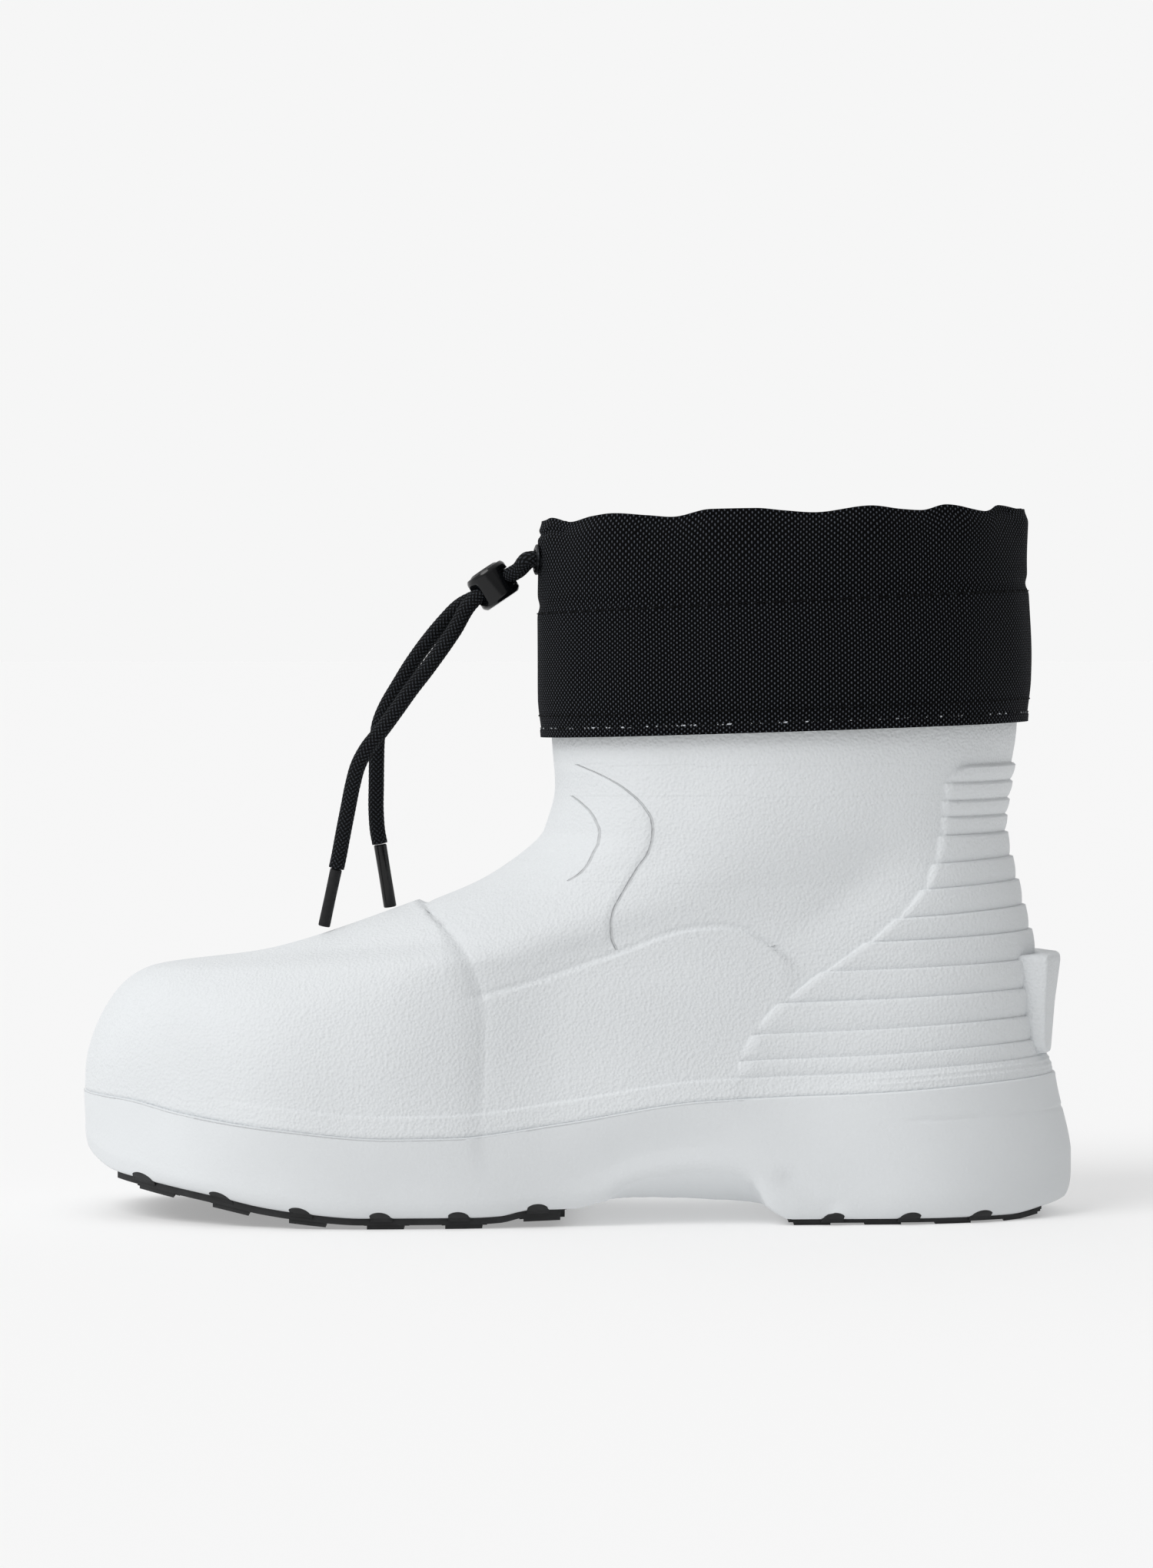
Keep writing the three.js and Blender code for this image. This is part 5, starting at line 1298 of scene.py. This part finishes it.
# Unevenness of the cuff's gathered top: place along the boot and rise, in millimetres
RIM_WAVE = smooth_curve((
    (-9.4, 0), (-7.4, 0.8), (-1.7, -0.7), (4.1, 0.5), (9.9, 1.1), (20.3, 0.2), (27.4, -0.5), (37.9, 1.3),
    (50.6, 1.2), (58.8, 0.3), (68, -0.5), (83.2, 1), (92.6, -0.2), (98.3, -0.6), (105.2, 0.9),
    (118, -1.2), (121.4, 0.6), (127.9, -0.4),
))
FOLDS = ((-6, 202.6, 6, 0.9), (104, 203.4, 5, 0.6), (121, 204.2, 4, 0.7), (38, 203.6, 7, 0.4))


def dressed_cuff(height, angle):
    """The cuff's stand-off with its hem band, the fuller cloth under the seam, and folds."""
    relief = plain_cuff(height, angle)
    x = plain(height, angle)[..., 0]
    under_seam = 1 - ease(SEAM_HEIGHT - 3.5, SEAM_HEIGHT - 0.4, height)
    waves = 0.14 * np.sin(7 * angle + 0.05 * height) + 0.1 * np.sin(17 * angle + 1.3)
    waves = waves * ease(HEM_HEIGHT + 4, SEAM_HEIGHT - 20, height)
    relief = relief + under_seam * (SEAM_FULLNESS + waves)
    relief = relief - (SEAM_NOTCH - SEAM_DEPTH) * ridge(height - SEAM_HEIGHT, SEAM_NOTCH_WIDTH)
    band_top = HEM_HEIGHT + HEM_BAND_HEIGHT
    relief = relief + HEM_BAND * (1 - ease(band_top, band_top + 0.6, height))
    for place, level, reach, depth in FOLDS:
        along = np.clip(1 - np.abs(x - place) / reach, 0, 1)
        relief = relief - depth * ridge(height - level - 0.15 * (x - place), 0.7) * ease(0, 0.5, along)
    return relief


def cuff_points(height, angle, relief):
    points = proud(height, angle, relief)
    near_top = ease(SEAM_HEIGHT + 8, BOOT_HEIGHT - 1, height)
    turned = np.where(np.sin(angle) > 0, points[..., 0], 118.0 - points[..., 0])
    points[..., 2] += RIM_WAVE(np.clip(turned, -9.4, 127.9)) * near_top
    return points


def make_cuff():
    angles = np.linspace(0, 2 * math.pi, CUFF_COLUMNS, endpoint=False)
    outer_heights = np.linspace(HEM_HEIGHT, BOOT_HEIGHT, CUFF_ROWS)
    inner_heights = np.linspace(BOOT_HEIGHT, HEM_HEIGHT, LINING_ROWS)
    tall, turn = np.broadcast_arrays(outer_heights[:, None], angles[None, :])
    outer = cuff_points(tall, turn, dressed_cuff(tall, turn))
    tall_in, turn_in = np.broadcast_arrays(inner_heights[:, None], angles[None, :])
    gather = plain_cuff(tall_in, turn_in) - plain_cuff(tall_in, 0 * turn_in)
    above = ease(COLLAR_HEIGHT, SEAM_HEIGHT, tall_in)
    inner = cuff_points(tall_in, turn_in, SEAT_GAP + 0.1 + gather * above)
    rings = np.concatenate([outer, inner])
    around = np.linalg.norm(np.diff(outer[50], axis=0, append=outer[50][:1]), axis=1)
    run = np.concatenate([[0], np.cumsum(around)[:-1]])
    up = np.concatenate([outer_heights, 2 * BOOT_HEIGHT - inner_heights])
    uv = np.stack(np.broadcast_arrays(run[None, :], up[:, None]), axis=-1).reshape(-1, 2)
    faces = grid_faces(len(rings), CUFF_COLUMNS, True)
    piece = new_piece("cuff_canvas", rings.reshape(-1, 3), faces, CANVAS, ["cuff"], uv)
    return piece, float(around.sum())


STITCH_PITCH, STITCH_LENGTH, STITCH_RADIUS, STITCH_SIDES = 2.7, 2.0, 0.24, 6
# Place along a stitch and its thickness there, as shares of its length and of its radius
STITCH_TAPER = ((-0.5, 0.3), (-0.36, 0.9), (0, 1), (0.36, 0.9), (0.5, 0.3))
STITCH_ROWS = {"hem": HEM_HEIGHT + 2.8, "hem_line": HEM_HEIGHT + 6.6, "seam": SEAM_HEIGHT - 2.2}


def make_stitches(girth):
    """Rows of machine stitches around the cuff, joined as one piece."""
    count = int(girth / STITCH_PITCH)
    turn = np.linspace(0, 2 * math.pi, STITCH_SIDES, endpoint=False)
    points, faces, rows = [], [], []
    for row, level in enumerate(STITCH_ROWS.values()):
        dense = np.linspace(0, 2 * math.pi, 2000)
        flat = np.full(dense.shape, level)
        line = cuff_points(flat, dense, dressed_cuff(flat, dense) + 0.08)
        run = np.concatenate([[0], np.cumsum(np.linalg.norm(np.diff(line, axis=0), axis=1))])
        normal = outward(flat, dense)
        for k in range(count):
            start = sum(len(b) for b in points)
            for share, radius in STITCH_TAPER:
                place = (k + 0.5) * run[-1] / count + share * STITCH_LENGTH
                centre = np.array([np.interp(place, run, line[:, i]) for i in range(3)])
                out = np.array([np.interp(place, run, normal[:, i]) for i in range(3)])
                ring = centre + STITCH_RADIUS * radius * (
                    np.cos(turn)[:, None] * out + np.sin(turn)[:, None] * np.array([0, 0, 1.0]))
                points.append(ring)
            for face in capped_faces(len(STITCH_TAPER), STITCH_SIDES):
                faces.append([start + i for i in face])
                rows.append(min(row, 1))
    piece = new_piece("cuff_stitches", np.vstack(points), faces, THREAD)
    piece.data.materials.append(DARK_THREAD)
    piece.data.polygons.foreach_set("material_index", rows)
    return piece


cuff, cuff_girth = make_cuff()
stitches = make_stitches(cuff_girth)


# Light of the studio: level and slopes of the sky's light, towards the left, up and the back
SKY_LEVEL, SKY_LEFT, SKY_UP, SKY_BACK = 0.42, 0.25, 0.36, 0.24
BACKDROP = linear("#f6f6f6")[0]
# Each lamp's aim, strength and spread in degrees: the key from the upper left, and a broad front
LAMPS = {"key": ((0.55, 0.5, -0.8), 1.32, 35), "front": ((0.15, 0.95, -0.12), 0.3, 90)}
FLOOR_ALBEDO, FLOOR_GLOW = 0.6, 0.332
FLOOR_HALF = 45


def make_sky():
    """A pale backdrop, brighter light from the left than from the right."""
    world = bpy.data.worlds.new("studio")
    bpy.context.scene.world = world
    world.use_nodes = True
    tree = world.node_tree
    way = node(tree, "ShaderNodeTexCoord").outputs["Generated"]
    x, y, z = node(tree, "ShaderNodeSeparateXYZ", i0=way).outputs
    light = maths(tree, "MULTIPLY_ADD", x, -SKY_LEFT, SKY_LEVEL)
    light = maths(tree, "MULTIPLY_ADD", z, SKY_UP, light)
    light = maths(tree, "MAXIMUM", maths(tree, "MULTIPLY_ADD", y, SKY_BACK, light), 0.02)
    behind = node(tree, "ShaderNodeMapRange", {"interpolation_type": "SMOOTHSTEP"},
                  i0=y, i1=0.9, i2=0.97, i3=0.0, i4=1.0).outputs[0]
    level = node(tree, "ShaderNodeMix", {"data_type": "FLOAT"}, i0=behind, i2=light, i3=BACKDROP)
    tree.links.new(level.outputs[0], tree.nodes["Background"].inputs["Strength"])
    tree.nodes["Background"].inputs["Color"].default_value = (1, 1, 1, 1)


def make_studio():
    """A pale floor and soft light from the upper left."""
    white = bpy.data.materials.new("studio_paper")
    white.use_nodes = True
    surface = white.node_tree.nodes["Principled BSDF"]
    surface.inputs["Base Color"].default_value = grey(FLOOR_ALBEDO)
    surface.inputs["Roughness"].default_value = 1.0
    surface.inputs["Specular IOR Level"].default_value = 0.0
    surface.inputs["Emission Color"].default_value = grey(1.0)
    surface.inputs["Emission Strength"].default_value = FLOOR_GLOW
    half = FLOOR_HALF
    mesh = bpy.data.meshes.new("floor")
    corners = [(-half, -half, 0), (half, -half, 0), (half, half, 0), (-half, half, 0)]
    mesh.from_pydata(corners, [], [(0, 1, 2, 3)])
    mesh.materials.append(white)
    floor = bpy.data.objects.new("floor", mesh)
    bpy.context.scene.collection.objects.link(floor)
    for name, (aim, strength, spread) in LAMPS.items():
        lamp = bpy.data.lights.new(name, "SUN")
        lamp.energy, lamp.angle = strength, math.radians(spread)
        light = bpy.data.objects.new(name, lamp)
        light.rotation_euler = Vector(aim).to_track_quat("-Z", "Y").to_euler()
        bpy.context.scene.collection.objects.link(light)
    bpy.context.scene.view_settings.view_transform = "Standard"


make_sky()
make_studio()

bpy.context.view_layer.update()
